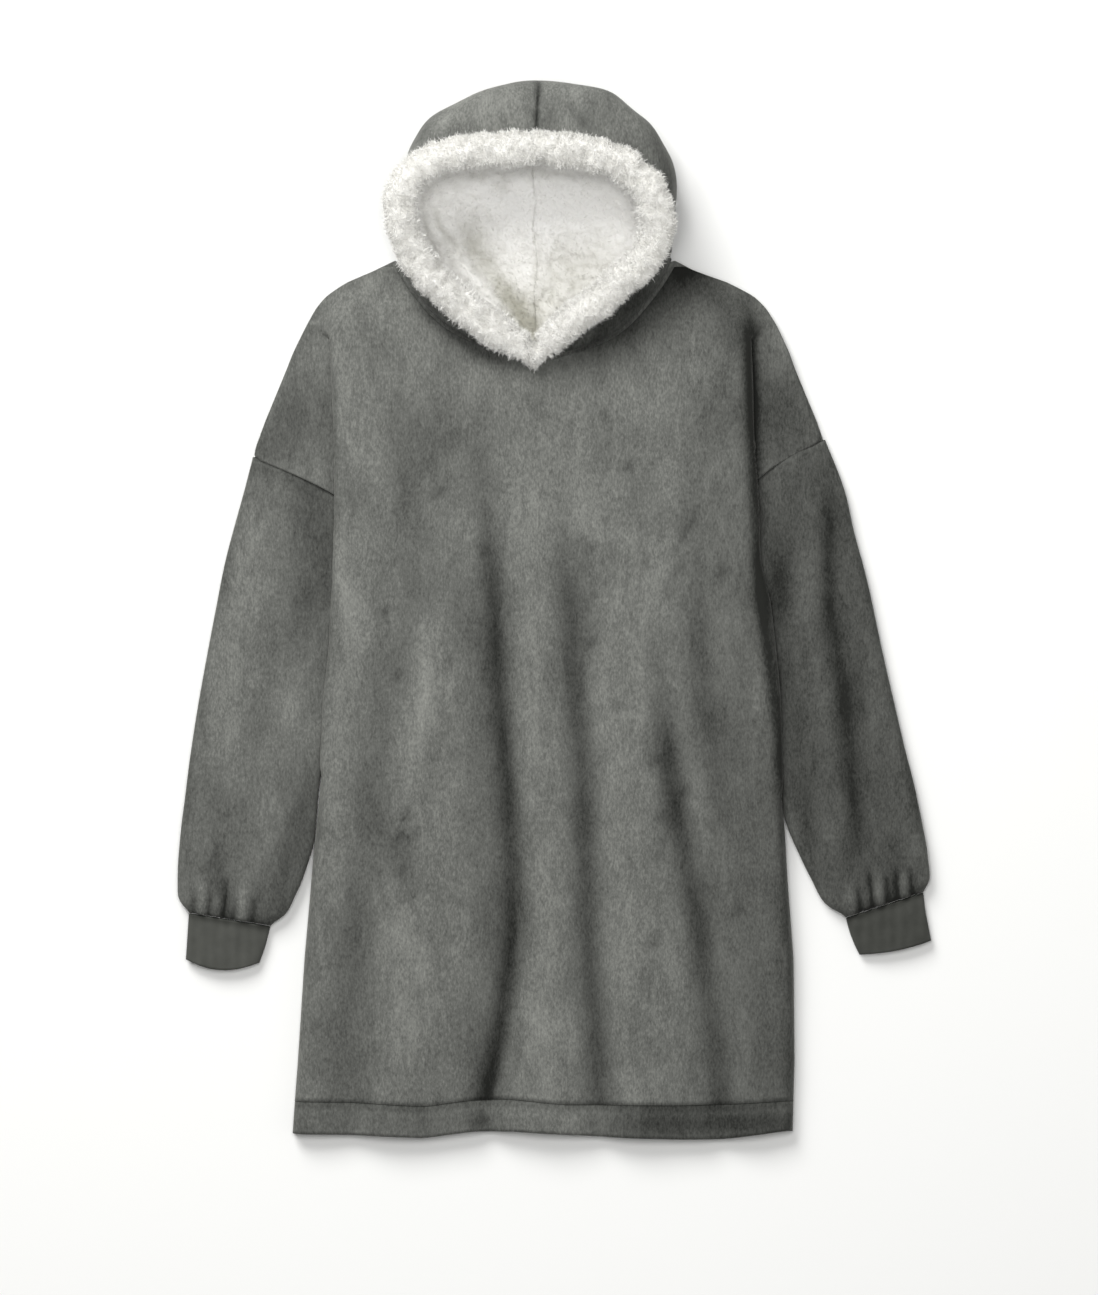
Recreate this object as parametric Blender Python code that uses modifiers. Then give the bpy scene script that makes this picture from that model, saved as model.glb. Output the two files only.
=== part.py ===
"""Wearable blanket hoodie, laid flat on its back with the hood held open.

Metres. +X is the wearer's left, +Y runs from the hem to the hood and +Z is up from the surface
it lies on. The origin is the middle of the footprint, on that surface. Every piece is a cloth
wall, lofted through sections from the tables below and thickened with Solidify.
"""

import math

import bmesh
import bpy
import numpy as np

COLLECTION_NAME = "wearable_blanket_hoodie"

# Cloth thicknesses: plush bonded to its fleece backing, knit cuff, hood plush, sherpa lining
BODY_WALL = 0.005
CUFF_WALL = 0.003
HOOD_WALL = 0.0026
LINING_WALL = 0.006
SEAM_GAP = 0.0004
LINING_CLEARANCE_RIGHT = 0.0015
LINING_CLEARANCE_LEFT = 0.0022
BROW_CLEARANCE = 0.006

# The rolled sherpa edge of the hood
TRIM_WIDTH = 0.031
TRIM_HEIGHT = 0.016

# The front's folded side edges: bend, height of one fold, rounding where nothing is folded
FOLD_RADIUS = 0.007
FOLD_STEP = 0.0061
EDGE_ROUNDING = 0.008
BROW_SHARE = 0.6
FOLDED_FROM = 0.003
UNDERARM_Y = 0.052
LAST_FOLD_Y = 0.272
SHOULDER_Y = 0.2875

# Heights of the front's middle surface where it rests on the back panel and where it rounds down
Z_ON_BACK = BODY_WALL + SEAM_GAP + BODY_WALL / 2
Z_ROUNDED_END = 0.0062
ROUNDED_FROM = 0.012

# Hem seam of the back panel, its lower edge, and the depth of the hem band
HEM_Y = -0.4925
HEM_BACK_EDGE_Y = -0.5205
HEM_DEPTH = 0.03

# Neck seam: lowest point at the front, room beside the hood at the front, sides and back
NECK_FRONT_Y = 0.2455
NECK_ROOM_FRONT = 0.0033
NECK_ROOM_SIDE = 0.0060
NECK_ROOM_BACK = 0.0022

# Armhole seam: room between sleeve and body, and how the ring eases in at its two ends
ARMHOLE_ROOM = (0.0002, 0.0014)
SHOULDER_END_DROP = 0.0035
UNDERARM_END = (0.003, 0.004, 0.003)

# Sleeve and cuff sections: points above and below, height of the sides and roundness of the dome
TOP_STEPS = 12
BOTTOM_STEPS = 4
SIDE_SHARE = 0.42
DOME_POWER = 0.7

# Points in each section of the hood and its trim
SPLINE_STEPS = 12
HOOD_POINTS = 14
NECK_SEAM_FRONT_POINTS = 8
TRIM_SECTIONS = 17
TRIM_POINTS = 12


def table(columns, *rows):
    """A short table as named columns, each a numpy array."""
    return dict(zip(columns.split(), np.array(rows, float).T))


def read(rows, column, at, key="y"):
    """One column read at a place along the key column, which rises."""
    return np.interp(at, rows[key], rows[column])


# Front panel seen from above, from the hem up. outer is where the cloth ends: side seam,
# armhole seam or shoulder. fold is the folded edge that shows, tuck the inner end of the fold.
EDGE_COLUMNS = "y outer fold tuck"
RIGHT_EDGE = table(
    EDGE_COLUMNS,
    (-0.524, -0.2625, -0.2625, -0.2625),
    (-0.449, -0.2570, -0.2570, -0.2570),
    (-0.348, -0.2505, -0.2505, -0.2505),
    (-0.269, -0.2435, -0.2435, -0.2435),
    (-0.234, -0.2405, -0.2405, -0.2405),
    (-0.209, -0.2378, -0.2378, -0.2378),
    (-0.173, -0.2345, -0.2355, -0.2345),
    (-0.089, -0.2215, -0.2315, -0.2215),
    (-0.033, -0.2095, -0.2255, -0.2095),
    (0.011, -0.1985, -0.2235, -0.1985),
    (0.052, -0.1900, -0.2215, -0.1900),
    (0.0715, -0.1935, -0.2210, -0.1905),
    (0.0915, -0.1995, -0.2205, -0.1910),
    (0.1115, -0.2135, -0.2205, -0.1920),
    (0.1245, -0.2365, -0.2205, -0.1940),
    (0.1415, -0.2725, -0.2210, -0.1965),
    (0.1535, -0.3015, -0.2215, -0.1985),
    (0.1900, -0.2880, -0.2225, -0.2040),
    (0.2285, -0.2720, -0.2230, -0.2100),
    (0.2600, -0.2590, -0.2245, -0.2170),
    (0.2875, -0.2450, -0.2265, -0.2265),
    (0.3035, -0.2360, -0.2250, -0.2290),
    (0.3155, -0.2260, -0.2165, -0.2230),
    (0.3275, -0.2085, -0.2005, -0.2060),
    (0.3395, -0.1850, -0.1790, -0.1830),
    (0.3515, -0.1600, -0.1590, -0.1595),
)
LEFT_EDGE = table(
    EDGE_COLUMNS,
    (-0.524, 0.2385, 0.2385, 0.2385),
    (-0.449, 0.2405, 0.2405, 0.2405),
    (-0.348, 0.2395, 0.2395, 0.2395),
    (-0.269, 0.2335, 0.2335, 0.2335),
    (-0.234, 0.2315, 0.2315, 0.2315),
    (-0.209, 0.2300, 0.2305, 0.2300),
    (-0.173, 0.2255, 0.2285, 0.2255),
    (-0.089, 0.2115, 0.2265, 0.2115),
    (-0.033, 0.1985, 0.2210, 0.1985),
    (0.011, 0.1880, 0.2160, 0.1880),
    (0.052, 0.1780, 0.2060, 0.1780),
    (0.0715, 0.1800, 0.2055, 0.1780),
    (0.0915, 0.1840, 0.2055, 0.1780),
    (0.1115, 0.1910, 0.2045, 0.1785),
    (0.1315, 0.2055, 0.2035, 0.1795),
    (0.1435, 0.2195, 0.2025, 0.1805),
    (0.1595, 0.2465, 0.2015, 0.1815),
    (0.1705, 0.2705, 0.2010, 0.1825),
    (0.1900, 0.2630, 0.2000, 0.1835),
    (0.2285, 0.2470, 0.1985, 0.1865),
    (0.2600, 0.2345, 0.1975, 0.1900),
    (0.2875, 0.2205, 0.1965, 0.1965),
    (0.3035, 0.2090, 0.1960, 0.2000),
    (0.3155, 0.1960, 0.1850, 0.1930),
    (0.3275, 0.1720, 0.1640, 0.1700),
    (0.3395, 0.1440, 0.1380, 0.1420),
    (0.3515, 0.1210, 0.1200, 0.1205),
)

# Heights of the front's middle surface: top over the body, ends where the cloth stops
HEIGHTS = table(
    "y top low end",
    (-0.524, 0.0150, 0.0085, 0.0062),
    (-0.449, 0.0175, 0.0090, 0.0062),
    (-0.348, 0.0195, 0.0090, 0.0062),
    (-0.234, 0.0230, 0.0095, 0.0062),
    (-0.173, 0.0270, 0.0110, 0.0062),
    (0.011, 0.0280, 0.0120, 0.0062),
    (0.052, 0.0280, 0.0135, 0.0100),
    (0.0915, 0.0275, 0.0140, 0.0130),
    (0.1245, 0.0270, 0.0140, 0.0140),
    (0.1415, 0.0265, 0.0140, 0.0125),
    (0.1535, 0.0260, 0.0140, 0.0090),
    (0.2285, 0.0250, 0.0130, 0.0082),
    (0.2600, 0.0240, 0.0115, 0.0082),
    (0.2875, 0.0215, 0.0110, 0.0082),
    (0.3035, 0.0175, 0.0125, 0.0082),
    (0.3155, 0.0132, 0.0125, 0.0082),
    (0.3275, 0.0103, 0.0110, 0.0082),
    (0.3395, 0.0086, 0.0095, 0.0082),
    (0.3515, 0.0083, 0.0082, 0.0082),
)
SHOULDER_ROUNDING = table("y more", (0.28, 0.0), (0.3155, 0.014))
MIDDLE_DROP = table(
    "y drop",
    (-0.524, -0.001), (-0.3, 0.0), (-0.1, 0.005), (0.12, 0.005), (0.25, 0.0),
)

# Lengthwise folds of the front. Each row: y, then the x and height change of each fold there.
FOLD_COLUMNS = "y f5x f5 r1x r1 f1x f1 r2x r2 f2x f2 r3x r3 f3x f3 f4x f4"
FOLDS = table(
    FOLD_COLUMNS,
    (-0.524, -0.205, -4, -0.165, 3, -0.067, -7, -0.010, 4, 0.045, -5, 0.085, 3, 0.166, -5, 0.205, 2),
    (-0.449, -0.202, -4, -0.160, 3, -0.052, -9, -0.010, 4, 0.041, -5, 0.078, 3, 0.158, -6, 0.200, 2),
    (-0.319, -0.193, -4, -0.145, 3, -0.040, -9, -0.010, 3, 0.035, -4, 0.065, 3, 0.145, -6, 0.188, 1),
    (-0.189, -0.179, -3, -0.143, 3, -0.044, -8, -0.013, 3, 0.028, -4, 0.056, 3, 0.124, -4, 0.172, -1),
    (-0.079, -0.161, -3, -0.130, 3, -0.052, -7, -0.020, 3, 0.023, -4, 0.060, 2, 0.112, -1, 0.155, -3),
    (0.012, -0.146, -3, -0.118, 3, -0.058, -5, -0.022, 3, 0.014, -3, 0.064, 2, 0.112, 0, 0.145, -2.5),
    (0.092, -0.144, -3, -0.115, 2, -0.066, -3, -0.024, 2, 0.006, -1, 0.060, 1, 0.105, 0, 0.138, -2),
    (0.190, -0.150, -2, -0.118, 1, -0.071, 0, -0.023, 1, 0.010, 0, 0.055, 0, 0.100, 0, 0.135, 0),
    (0.245, -0.160, 0, -0.128, 0, -0.080, 0, -0.0235, 0, 0.020, 0, 0.060, 0, 0.100, 0, 0.140, 0),
)
FOLD_HALF_WIDTH = 0.014
MILLIMETRE = 0.001

FRONT_ROWS = (
    -0.449, -0.399, -0.348, -0.299, -0.269, -0.234, -0.209, -0.173, -0.131, -0.089, -0.033, 0.011,
    0.052, 0.0715, 0.0915, 0.1115, 0.1245, 0.1415, 0.1535, 0.1705, 0.190, 0.2285,
)
NECK_ROWS = (0.2515, 0.260, 0.272, 0.2875, 0.3035, 0.3155, 0.3275, 0.3395, 0.3450)

# The hem seam and the wavy lower edge
HEM_LINE = table(
    "x seam edge",
    (-0.262, -0.4905, -0.5225),
    (-0.201, -0.4915, -0.5235),
    (-0.131, -0.4955, -0.5265),
    (-0.082, -0.4890, -0.5200),
    (-0.040, -0.4885, -0.5200),
    (0.010, -0.4935, -0.5230),
    (0.076, -0.4940, -0.5265),
    (0.122, -0.4945, -0.5279),
    (0.169, -0.4935, -0.5279),
    (0.238, -0.4895, -0.5185),
)

# The hood in sections from its neck seam, over the side, to the brow. rim is under the rolled
# edge, side and turn are the outside of the bowl, base is where it lies and seam its middle.
HOOD_COLUMNS = (
    "rim_x rim_y rim_z side_x side_y side_z turn_x turn_y turn_z "
    "base_x base_y base_z seam_y seam_z"
)
HOOD_MIDDLE_X = -0.0195
HOOD_MIDDLE_Y = 0.37
HOOD_RIGHT = table(
    HOOD_COLUMNS,
    (-0.0205, 0.2505, 0.0250, -0.1075, 0.2875, 0.0210,
     -0.1560, 0.3510, 0.0090, -0.1145, 0.3400, 0.0014, 0.3275, 0.0013),
    (-0.0675, 0.2865, 0.0380, -0.1265, 0.3195, 0.0300,
     -0.1590, 0.3680, 0.0160, -0.1225, 0.3610, 0.0016, 0.3495, 0.0013),
    (-0.1025, 0.3135, 0.0470, -0.1450, 0.3480, 0.0380,
     -0.1600, 0.3880, 0.0210, -0.1245, 0.3850, 0.0018, 0.3735, 0.0013),
    (-0.1315, 0.3435, 0.0570, -0.1565, 0.3730, 0.0450,
     -0.1600, 0.4060, 0.0250, -0.1265, 0.4060, 0.0020, 0.3965, 0.0013),
    (-0.1495, 0.3765, 0.0660, -0.1600, 0.3990, 0.0500,
     -0.1570, 0.4270, 0.0280, -0.1245, 0.4290, 0.0020, 0.4215, 0.0013),
    (-0.1525, 0.4065, 0.0730, -0.1520, 0.4300, 0.0550,
     -0.1430, 0.4530, 0.0300, -0.1175, 0.4530, 0.0020, 0.4495, 0.0013),
    (-0.1425, 0.4315, 0.0770, -0.1430, 0.4540, 0.0620,
     -0.1340, 0.4750, 0.0340, -0.0990, 0.4860, 0.0110, 0.4970, 0.0050),
    (-0.1145, 0.4485, 0.0800, -0.1220, 0.4770, 0.0740,
     -0.1150, 0.4960, 0.0520, -0.0740, 0.5110, 0.0300, 0.5200, 0.0220),
    (-0.0795, 0.4555, 0.0820, -0.0840, 0.4850, 0.0795,
     -0.0715, 0.5110, 0.0735, -0.0430, 0.5225, 0.0680, 0.5265, 0.0580),
    (-0.0495, 0.4575, 0.0830, -0.0430, 0.4745, 0.0815,
     -0.0350, 0.4890, 0.0815, -0.0265, 0.4985, 0.0800, 0.5030, 0.0785),
    (-0.0205, 0.4585, 0.0830, -0.0205, 0.4585, 0.0830,
     -0.0205, 0.4585, 0.0830, -0.0205, 0.4585, 0.0830, 0.4585, 0.0830),
)
HOOD_LEFT = table(
    HOOD_COLUMNS,
    (-0.0185, 0.2505, 0.0250, 0.0635, 0.2815, 0.0210,
     0.1165, 0.3515, 0.0090, 0.0755, 0.3400, 0.0014, 0.3275, 0.0013),
    (0.0105, 0.2835, 0.0380, 0.0775, 0.3195, 0.0300,
     0.1170, 0.3680, 0.0160, 0.0775, 0.3610, 0.0016, 0.3495, 0.0013),
    (0.0455, 0.3115, 0.0470, 0.0955, 0.3480, 0.0380,
     0.1170, 0.3880, 0.0230, 0.0795, 0.3850, 0.0018, 0.3735, 0.0013),
    (0.0795, 0.3395, 0.0570, 0.1075, 0.3690, 0.0460,
     0.1185, 0.4030, 0.0290, 0.0815, 0.4060, 0.0020, 0.3965, 0.0013),
    (0.1005, 0.3715, 0.0660, 0.1155, 0.3955, 0.0520,
     0.1180, 0.4210, 0.0310, 0.0815, 0.4290, 0.0020, 0.4215, 0.0013),
    (0.1015, 0.3975, 0.0730, 0.1165, 0.4215, 0.0600,
     0.1150, 0.4460, 0.0350, 0.0755, 0.4530, 0.0020, 0.4495, 0.0013),
    (0.0905, 0.4215, 0.0770, 0.1090, 0.4450, 0.0660,
     0.1040, 0.4690, 0.0400, 0.0635, 0.4860, 0.0110, 0.4970, 0.0050),
    (0.0675, 0.4425, 0.0800, 0.0885, 0.4700, 0.0760,
     0.0865, 0.4915, 0.0540, 0.0415, 0.5110, 0.0300, 0.5200, 0.0220),
    (0.0355, 0.4535, 0.0820, 0.0535, 0.4850, 0.0800,
     0.0510, 0.5130, 0.0735, 0.0150, 0.5225, 0.0680, 0.5265, 0.0580),
    (0.0055, 0.4565, 0.0830, 0.0060, 0.4745, 0.0815,
     0.0000, 0.4890, 0.0815, -0.0110, 0.4985, 0.0800, 0.5030, 0.0785),
    (-0.0185, 0.4585, 0.0830, -0.0185, 0.4585, 0.0830,
     -0.0185, 0.4585, 0.0830, -0.0185, 0.4585, 0.0830, 0.4585, 0.0830),
)

# Where the lining ends in the bottom of the neck opening: from under the rolled edge, out along
# the neck and back to the middle, over the back panel
PAST_NECK_SHARE = 0.72
Z_LINING_ON_BACK = 0.0092
LINING_FRONT_RIGHT = (
    (-0.0300, 0.2665, 0.0215),
    (-0.0745, 0.2850, 0.0190),
    (-0.0980, 0.3060, 0.0140),
    (-0.0660, 0.2950, 0.0095),
    (-0.0199, 0.2640, 0.0095),
)
LINING_FRONT_LEFT = (
    (-0.0090, 0.2665, 0.0215),
    (0.0320, 0.2835, 0.0190),
    (0.0560, 0.3060, 0.0140),
    (0.0260, 0.2950, 0.0095),
    (-0.0191, 0.2640, 0.0095),
)

# Sleeves from the armhole to the cuff seam: the two edges of each section, how far its middle
# bows towards the shoulder, and its height
TUBE_COLUMNS = "outer_x outer_y inner_x inner_y bow height"
SLEEVE_RIGHT = table(
    TUBE_COLUMNS,
    (-0.3105, 0.1215, -0.1957, 0.0285, 0.018, 0.0180),
    (-0.3287, 0.0550, -0.1993, 0.0110, 0.010, 0.0183),
    (-0.3388, 0.0050, -0.2103, -0.0330, 0.005, 0.0183),
    (-0.3507, -0.0580, -0.2223, -0.0890, 0.0, 0.0183),
    (-0.3589, -0.1050, -0.2288, -0.1310, 0.0, 0.0183),
    (-0.3657, -0.1500, -0.2353, -0.1730, 0.0, 0.0187),
    (-0.3703, -0.1870, -0.2386, -0.2090, 0.0, 0.0192),
    (-0.3737, -0.2135, -0.2413, -0.2340, 0.0, 0.0197),
    (-0.3770, -0.2500, -0.2525, -0.2685, 0.0, 0.0203),
    (-0.3775, -0.2705, -0.2605, -0.2865, 0.0, 0.0203),
    (-0.3765, -0.2865, -0.2685, -0.3015, 0.0, 0.0185),
    (-0.3675, -0.2980, -0.2815, -0.3110, 0.0, 0.0160),
    (-0.3660, -0.3006, -0.2837, -0.3136, 0.0, 0.0158),
)
SLEEVE_LEFT = table(
    TUBE_COLUMNS,
    (0.2895, 0.1245, 0.1845, 0.0285, 0.018, 0.0180),
    (0.3000, 0.0800, 0.1888, 0.0110, 0.010, 0.0183),
    (0.3130, 0.0315, 0.1993, -0.0330, 0.005, 0.0183),
    (0.3285, -0.0400, 0.2123, -0.0890, 0.0, 0.0183),
    (0.3400, -0.0900, 0.2193, -0.1310, 0.0, 0.0183),
    (0.3510, -0.1370, 0.2263, -0.1730, 0.0, 0.0187),
    (0.3610, -0.1765, 0.2308, -0.2090, 0.0, 0.0192),
    (0.3715, -0.2285, 0.2475, -0.2485, 0.0, 0.0203),
    (0.3745, -0.2505, 0.2575, -0.2685, 0.0, 0.0203),
    (0.3757, -0.2665, 0.2695, -0.2905, 0.0, 0.0185),
    (0.3705, -0.2773, 0.2885, -0.3026, 0.0, 0.0160),
    (0.3690, -0.2799, 0.2910, -0.3052, 0.0, 0.0158),
)
CUFF_RIGHT = table(
    TUBE_COLUMNS,
    (-0.3664, -0.3024, -0.2846, -0.3154, 0.0, 0.0128),
    (-0.3675, -0.3185, -0.2885, -0.3315, 0.0, 0.0130),
    (-0.3685, -0.3345, -0.2925, -0.3435, -0.004, 0.0125),
    (-0.3695, -0.3485, -0.2955, -0.3515, -0.009, 0.0120),
)
CUFF_LEFT = table(
    TUBE_COLUMNS,
    (0.3696, -0.2817, 0.2920, -0.3070, 0.0, 0.0128),
    (0.3715, -0.2985, 0.2955, -0.3205, 0.0, 0.0130),
    (0.3745, -0.3145, 0.3005, -0.3335, -0.002, 0.0125),
    (0.3775, -0.3295, 0.3055, -0.3435, -0.003, 0.0120),
)

# The armhole seam: plan points of the front half and the height of the cloth's middle there
SEAM_COLUMNS = "x y z"
ARMHOLE_RIGHT = table(
    SEAM_COLUMNS,
    (-0.3015, 0.1535, 0.0115),
    (-0.2725, 0.1415, 0.0135),
    (-0.2365, 0.1245, 0.0145),
    (-0.2135, 0.1115, 0.0145),
    (-0.1995, 0.0915, 0.0135),
    (-0.1935, 0.0715, 0.0125),
    (-0.1900, 0.0520, 0.0110),
)
ARMHOLE_LEFT = table(
    SEAM_COLUMNS,
    (0.2705, 0.1705, 0.0115),
    (0.2465, 0.1595, 0.0130),
    (0.2195, 0.1435, 0.0145),
    (0.2055, 0.1315, 0.0145),
    (0.1910, 0.1115, 0.0145),
    (0.1840, 0.0915, 0.0135),
    (0.1800, 0.0715, 0.0125),
    (0.1780, 0.0520, 0.0110),
)

# Gathers where the sleeve is sewn to the narrower cuff
GATHERS = 9
GATHER_DEPTH = 0.0022
GATHERED_SECTIONS = 4

COLOURS = {
    "plush": (0.167, 0.171, 0.158),
    "knit": (0.088, 0.091, 0.083),
    "sherpa": (0.760, 0.745, 0.690),
}
ROUGHNESS = {"plush": 0.85, "knit": 0.9, "sherpa": 0.95}


def clear_scene():
    for thing in list(bpy.data.objects):
        bpy.data.objects.remove(thing, do_unlink=True)


def new_collection():
    made = bpy.data.collections.new(COLLECTION_NAME)
    bpy.context.scene.collection.children.link(made)
    return made


def material(name, cloth):
    made = bpy.data.materials.new(name + "_" + cloth)
    made.use_nodes = True
    shader = made.node_tree.nodes["Principled BSDF"]
    shader.inputs["Base Color"].default_value = (*COLOURS[cloth], 1.0)
    shader.inputs["Roughness"].default_value = ROUGHNESS[cloth]
    shader.inputs["Metallic"].default_value = 0.0
    return made


def spline(points, fractions, level_end=False):
    """A smooth curve through points (Catmull-Rom), read at fractions of its length."""
    points = np.array(points, float)
    before = 2 * points[0] - points[1]
    after = 2 * points[-1] - points[-2]
    if level_end:
        after[1:] = points[-2][1:]
    p = np.vstack([before, points, after])
    dense = []
    for i in range(1, len(p) - 2):
        for t in np.linspace(0, 1, SPLINE_STEPS, endpoint=False):
            dense.append(
                0.5 * (2 * p[i] + (p[i + 1] - p[i - 1]) * t
                       + (2 * p[i - 1] - 5 * p[i] + 4 * p[i + 1] - p[i + 2]) * t**2
                       + (3 * p[i] - p[i - 1] - 3 * p[i + 1] + p[i + 2]) * t**3)
            )
    dense = np.array(dense + [p[-2]])
    length = np.concatenate([[0], np.cumsum(np.linalg.norm(np.diff(dense, axis=0), axis=1))])
    if length[-1] < 1e-9:
        return np.repeat(points[:1], len(fractions), axis=0)
    at = np.array(fractions) * length[-1]
    return np.stack([np.interp(at, length, dense[:, k]) for k in range(3)], axis=1)


def split(points, a, b, c, d):
    """A four-sided patch as two triangles, across its shorter way."""
    if np.linalg.norm(points[a] - points[c]) <= np.linalg.norm(points[b] - points[d]):
        return ((a, b, c), (a, c, d))
    return ((a, b, d), (b, c, d))


def loft(name, sections, wall, cloth, collection, closed=False, solid=False, backing=None):
    """A surface through sections of equal length. It is a cloth wall, or a solid with ends.

    One that lines another piece has its patches split as that piece, its backing, has them.
    """
    count = len(sections[0])
    points = np.vstack(sections)
    guide = points if backing is None else np.vstack(backing)
    faces = []
    wrap = count if closed else count - 1
    for i in range(len(sections) - 1):
        for j in range(wrap):
            a, b = i * count + j, i * count + (j + 1) % count
            faces.extend(split(guide, a, b, b + count, a + count))
    if solid:
        faces.append(tuple(reversed(range(count))))
        last = (len(sections) - 1) * count
        faces.append(tuple(range(last, last + count)))
    return cloth_object(name, points, faces, 0.0 if solid else wall, cloth, collection)


def cloth_object(name, points, faces, wall, cloth, collection):
    """A mesh from points and faces, its tips joined, thickened to its wall where it has one."""
    mesh = bpy.data.meshes.new(name)
    mesh.from_pydata([tuple(p) for p in points], [], faces)
    shape = bmesh.new()
    shape.from_mesh(mesh)
    bmesh.ops.remove_doubles(shape, verts=shape.verts, dist=0.0001)
    bmesh.ops.recalc_face_normals(shape, faces=shape.faces)
    shape.to_mesh(mesh)
    shape.free()
    mesh.shade_smooth()
    made = bpy.data.objects.new(name, mesh)
    collection.objects.link(made)
    mesh.materials.append(material(name, cloth))
    if wall > 0:
        thicken = made.modifiers.new("cloth", "SOLIDIFY")
        thicken.thickness = wall
        thicken.offset = 0.0
    return made


def rounded_corner(before, corner, after, radius):
    """Three points round a corner, no further from it than half of either leg."""
    def towards(other):
        leg = other - corner
        size = np.linalg.norm(leg)
        if size < 1e-9:
            return corner
        return corner + leg / size * min(radius, size / 2)
    start, end = towards(before), towards(after)
    return [start, 0.25 * start + 0.5 * corner + 0.25 * end, end]


def flank(edge, y, inner_x, inner_z):
    """One side of a front row, from the body's top over the fold to where the cloth ends.

    Where the edge is folded it runs back under itself and out again. Where it isn't, it rounds
    down to the back panel, in a soft bend at the shoulder. Between two ways it is a mixture.
    """
    side = math.copysign(1.0, read(edge, "fold", y))
    half = side * BODY_WALL / 2
    fold = read(edge, "fold", y) - half
    tuck = read(edge, "tuck", y) - half
    outer = read(edge, "outer", y) - half
    top, low, end = (read(HEIGHTS, column, y) for column in ("top", "low", "end"))
    middle = max(top - FOLD_STEP, (top + low) / 2)
    overlap = abs(fold) - abs(tuck)
    folded = 1.0 if y > UNDERARM_Y else min(max(overlap / FOLDED_FROM, 0.0), 1.0)
    rounding = EDGE_ROUNDING + read(SHOULDER_ROUNDING, "more", y)
    brow_x = fold - side * min(abs(overlap) + rounding, BROW_SHARE * abs(fold - inner_x))
    brow = np.array((brow_x, top))
    path = [
        brow,
        np.array((fold, top)),
        np.array((fold, middle)),
        np.array((tuck, middle)),
        np.array((tuck, low)),
        np.array((outer, end)),
    ]
    points = []
    for i in range(1, 5):
        points.extend(rounded_corner(path[i - 1], path[i], path[i + 1], FOLD_RADIUS))
    points.append(0.5 * (points[-1] + path[5]))
    points.append(path[5])
    points = np.array(points)
    t = np.linspace(0, 1, len(points) + 1)[1:]
    soft_z = end + (top - end) * (1 + np.cos(np.pi * t)) / 2
    soft = np.stack([brow_x + (outer - brow_x) * t, soft_z], axis=1)
    softness = min(max((y - LAST_FOLD_Y) / (SHOULDER_Y - LAST_FOLD_Y), 0.0), 1.0)
    points = softness * soft + (1 - softness) * points
    angle = t * math.pi / 2
    steep = min(max((top - Z_ON_BACK) / ROUNDED_FROM, 0.0), 1.0)
    rounding_end = np.array((outer, Z_ON_BACK + steep * (Z_ROUNDED_END - Z_ON_BACK)))
    eased = np.stack([np.sin(angle), 1 - np.cos(angle)], axis=1)
    rounded = brow + (rounding_end - brow) * eased
    points = np.vstack([brow, folded * points + (1 - folded) * rounded])
    return np.array([(x, y, z) for x, z in points])


def fold_columns(y):
    """The x of each column of the front's top and its height change, from left fold to right."""
    at = min(max(y, FOLDS["y"][0]), FOLDS["y"][-1])
    xs, lifts = [], []
    for name in ("f5", "r1", "f1", "r2", "f2", "r3", "f3", "f4"):
        x = read(FOLDS, name + "x", at)
        lift = read(FOLDS, name, at) * MILLIMETRE
        if name in ("f5", "f1", "f2", "f3"):
            xs.extend((x - FOLD_HALF_WIDTH, x, x + FOLD_HALF_WIDTH))
            lifts.extend((0.0, lift, 0.0))
        else:
            xs.append(x)
            lifts.append(lift)
    return np.array(xs), np.array(lifts)


def top_rows(y, low_x, high_x, keep):
    """The columns of one half of the front's top that lie between two x values."""
    xs, lifts = fold_columns(y)
    if keep == "right":
        xs, lifts = xs[:8], lifts[:8]
    else:
        xs, lifts = xs[7:], lifts[7:]
    first, last = right_top(y) if keep == "right" else left_top(y)
    share = (xs - first) / (last - first)
    x = low_x + share * (high_x - low_x)
    return x, lifts


def right_top(y):
    """Where the right half of the top starts and ends before the neck opening narrows it."""
    y = min(y, NECK_FRONT_Y)
    return read(RIGHT_EDGE, "fold", y) + BODY_WALL / 2, fold_columns(y)[0][7]


def left_top(y):
    """The same of the left half."""
    y = min(y, NECK_FRONT_Y)
    return fold_columns(y)[0][7], read(LEFT_EDGE, "fold", y) - BODY_WALL / 2


def neckline(hood):
    """The front's neck edge: the hood's neck seam moved out by half a wall and the gap."""
    seam = hood_section(hood, 0)[:NECK_SEAM_FRONT_POINTS]
    room = np.linspace(NECK_ROOM_FRONT, NECK_ROOM_SIDE, len(seam))
    points = []
    for (x, y, _), away in zip(seam, room):
        direction = np.array((x - HOOD_MIDDLE_X, y - HOOD_MIDDLE_Y))
        direction /= np.linalg.norm(direction)
        points.append((x + away * direction[0], y + away * direction[1]))
    return np.array(points)


def hood_section(hood, i):
    """Points of one hood section, from its rim to the middle seam."""
    side = 1.0 if hood is HOOD_LEFT else -1.0
    seam_x = HOOD_MIDDLE_X + side * 1.5 * SEAM_GAP
    points = [
        (hood["rim_x"][i], hood["rim_y"][i], hood["rim_z"][i]),
        (hood["side_x"][i], hood["side_y"][i], hood["side_z"][i]),
        (hood["turn_x"][i], hood["turn_y"][i], hood["turn_z"][i]),
        (hood["base_x"][i], hood["base_y"][i], hood["base_z"][i]),
        (seam_x, hood["seam_y"][i], hood["seam_z"][i]),
    ]
    section = spline(points, np.linspace(0, 1, HOOD_POINTS), level_end=True)
    section[:, 2] = np.maximum(section[:, 2], HOOD_WALL / 2)
    return section


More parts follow.
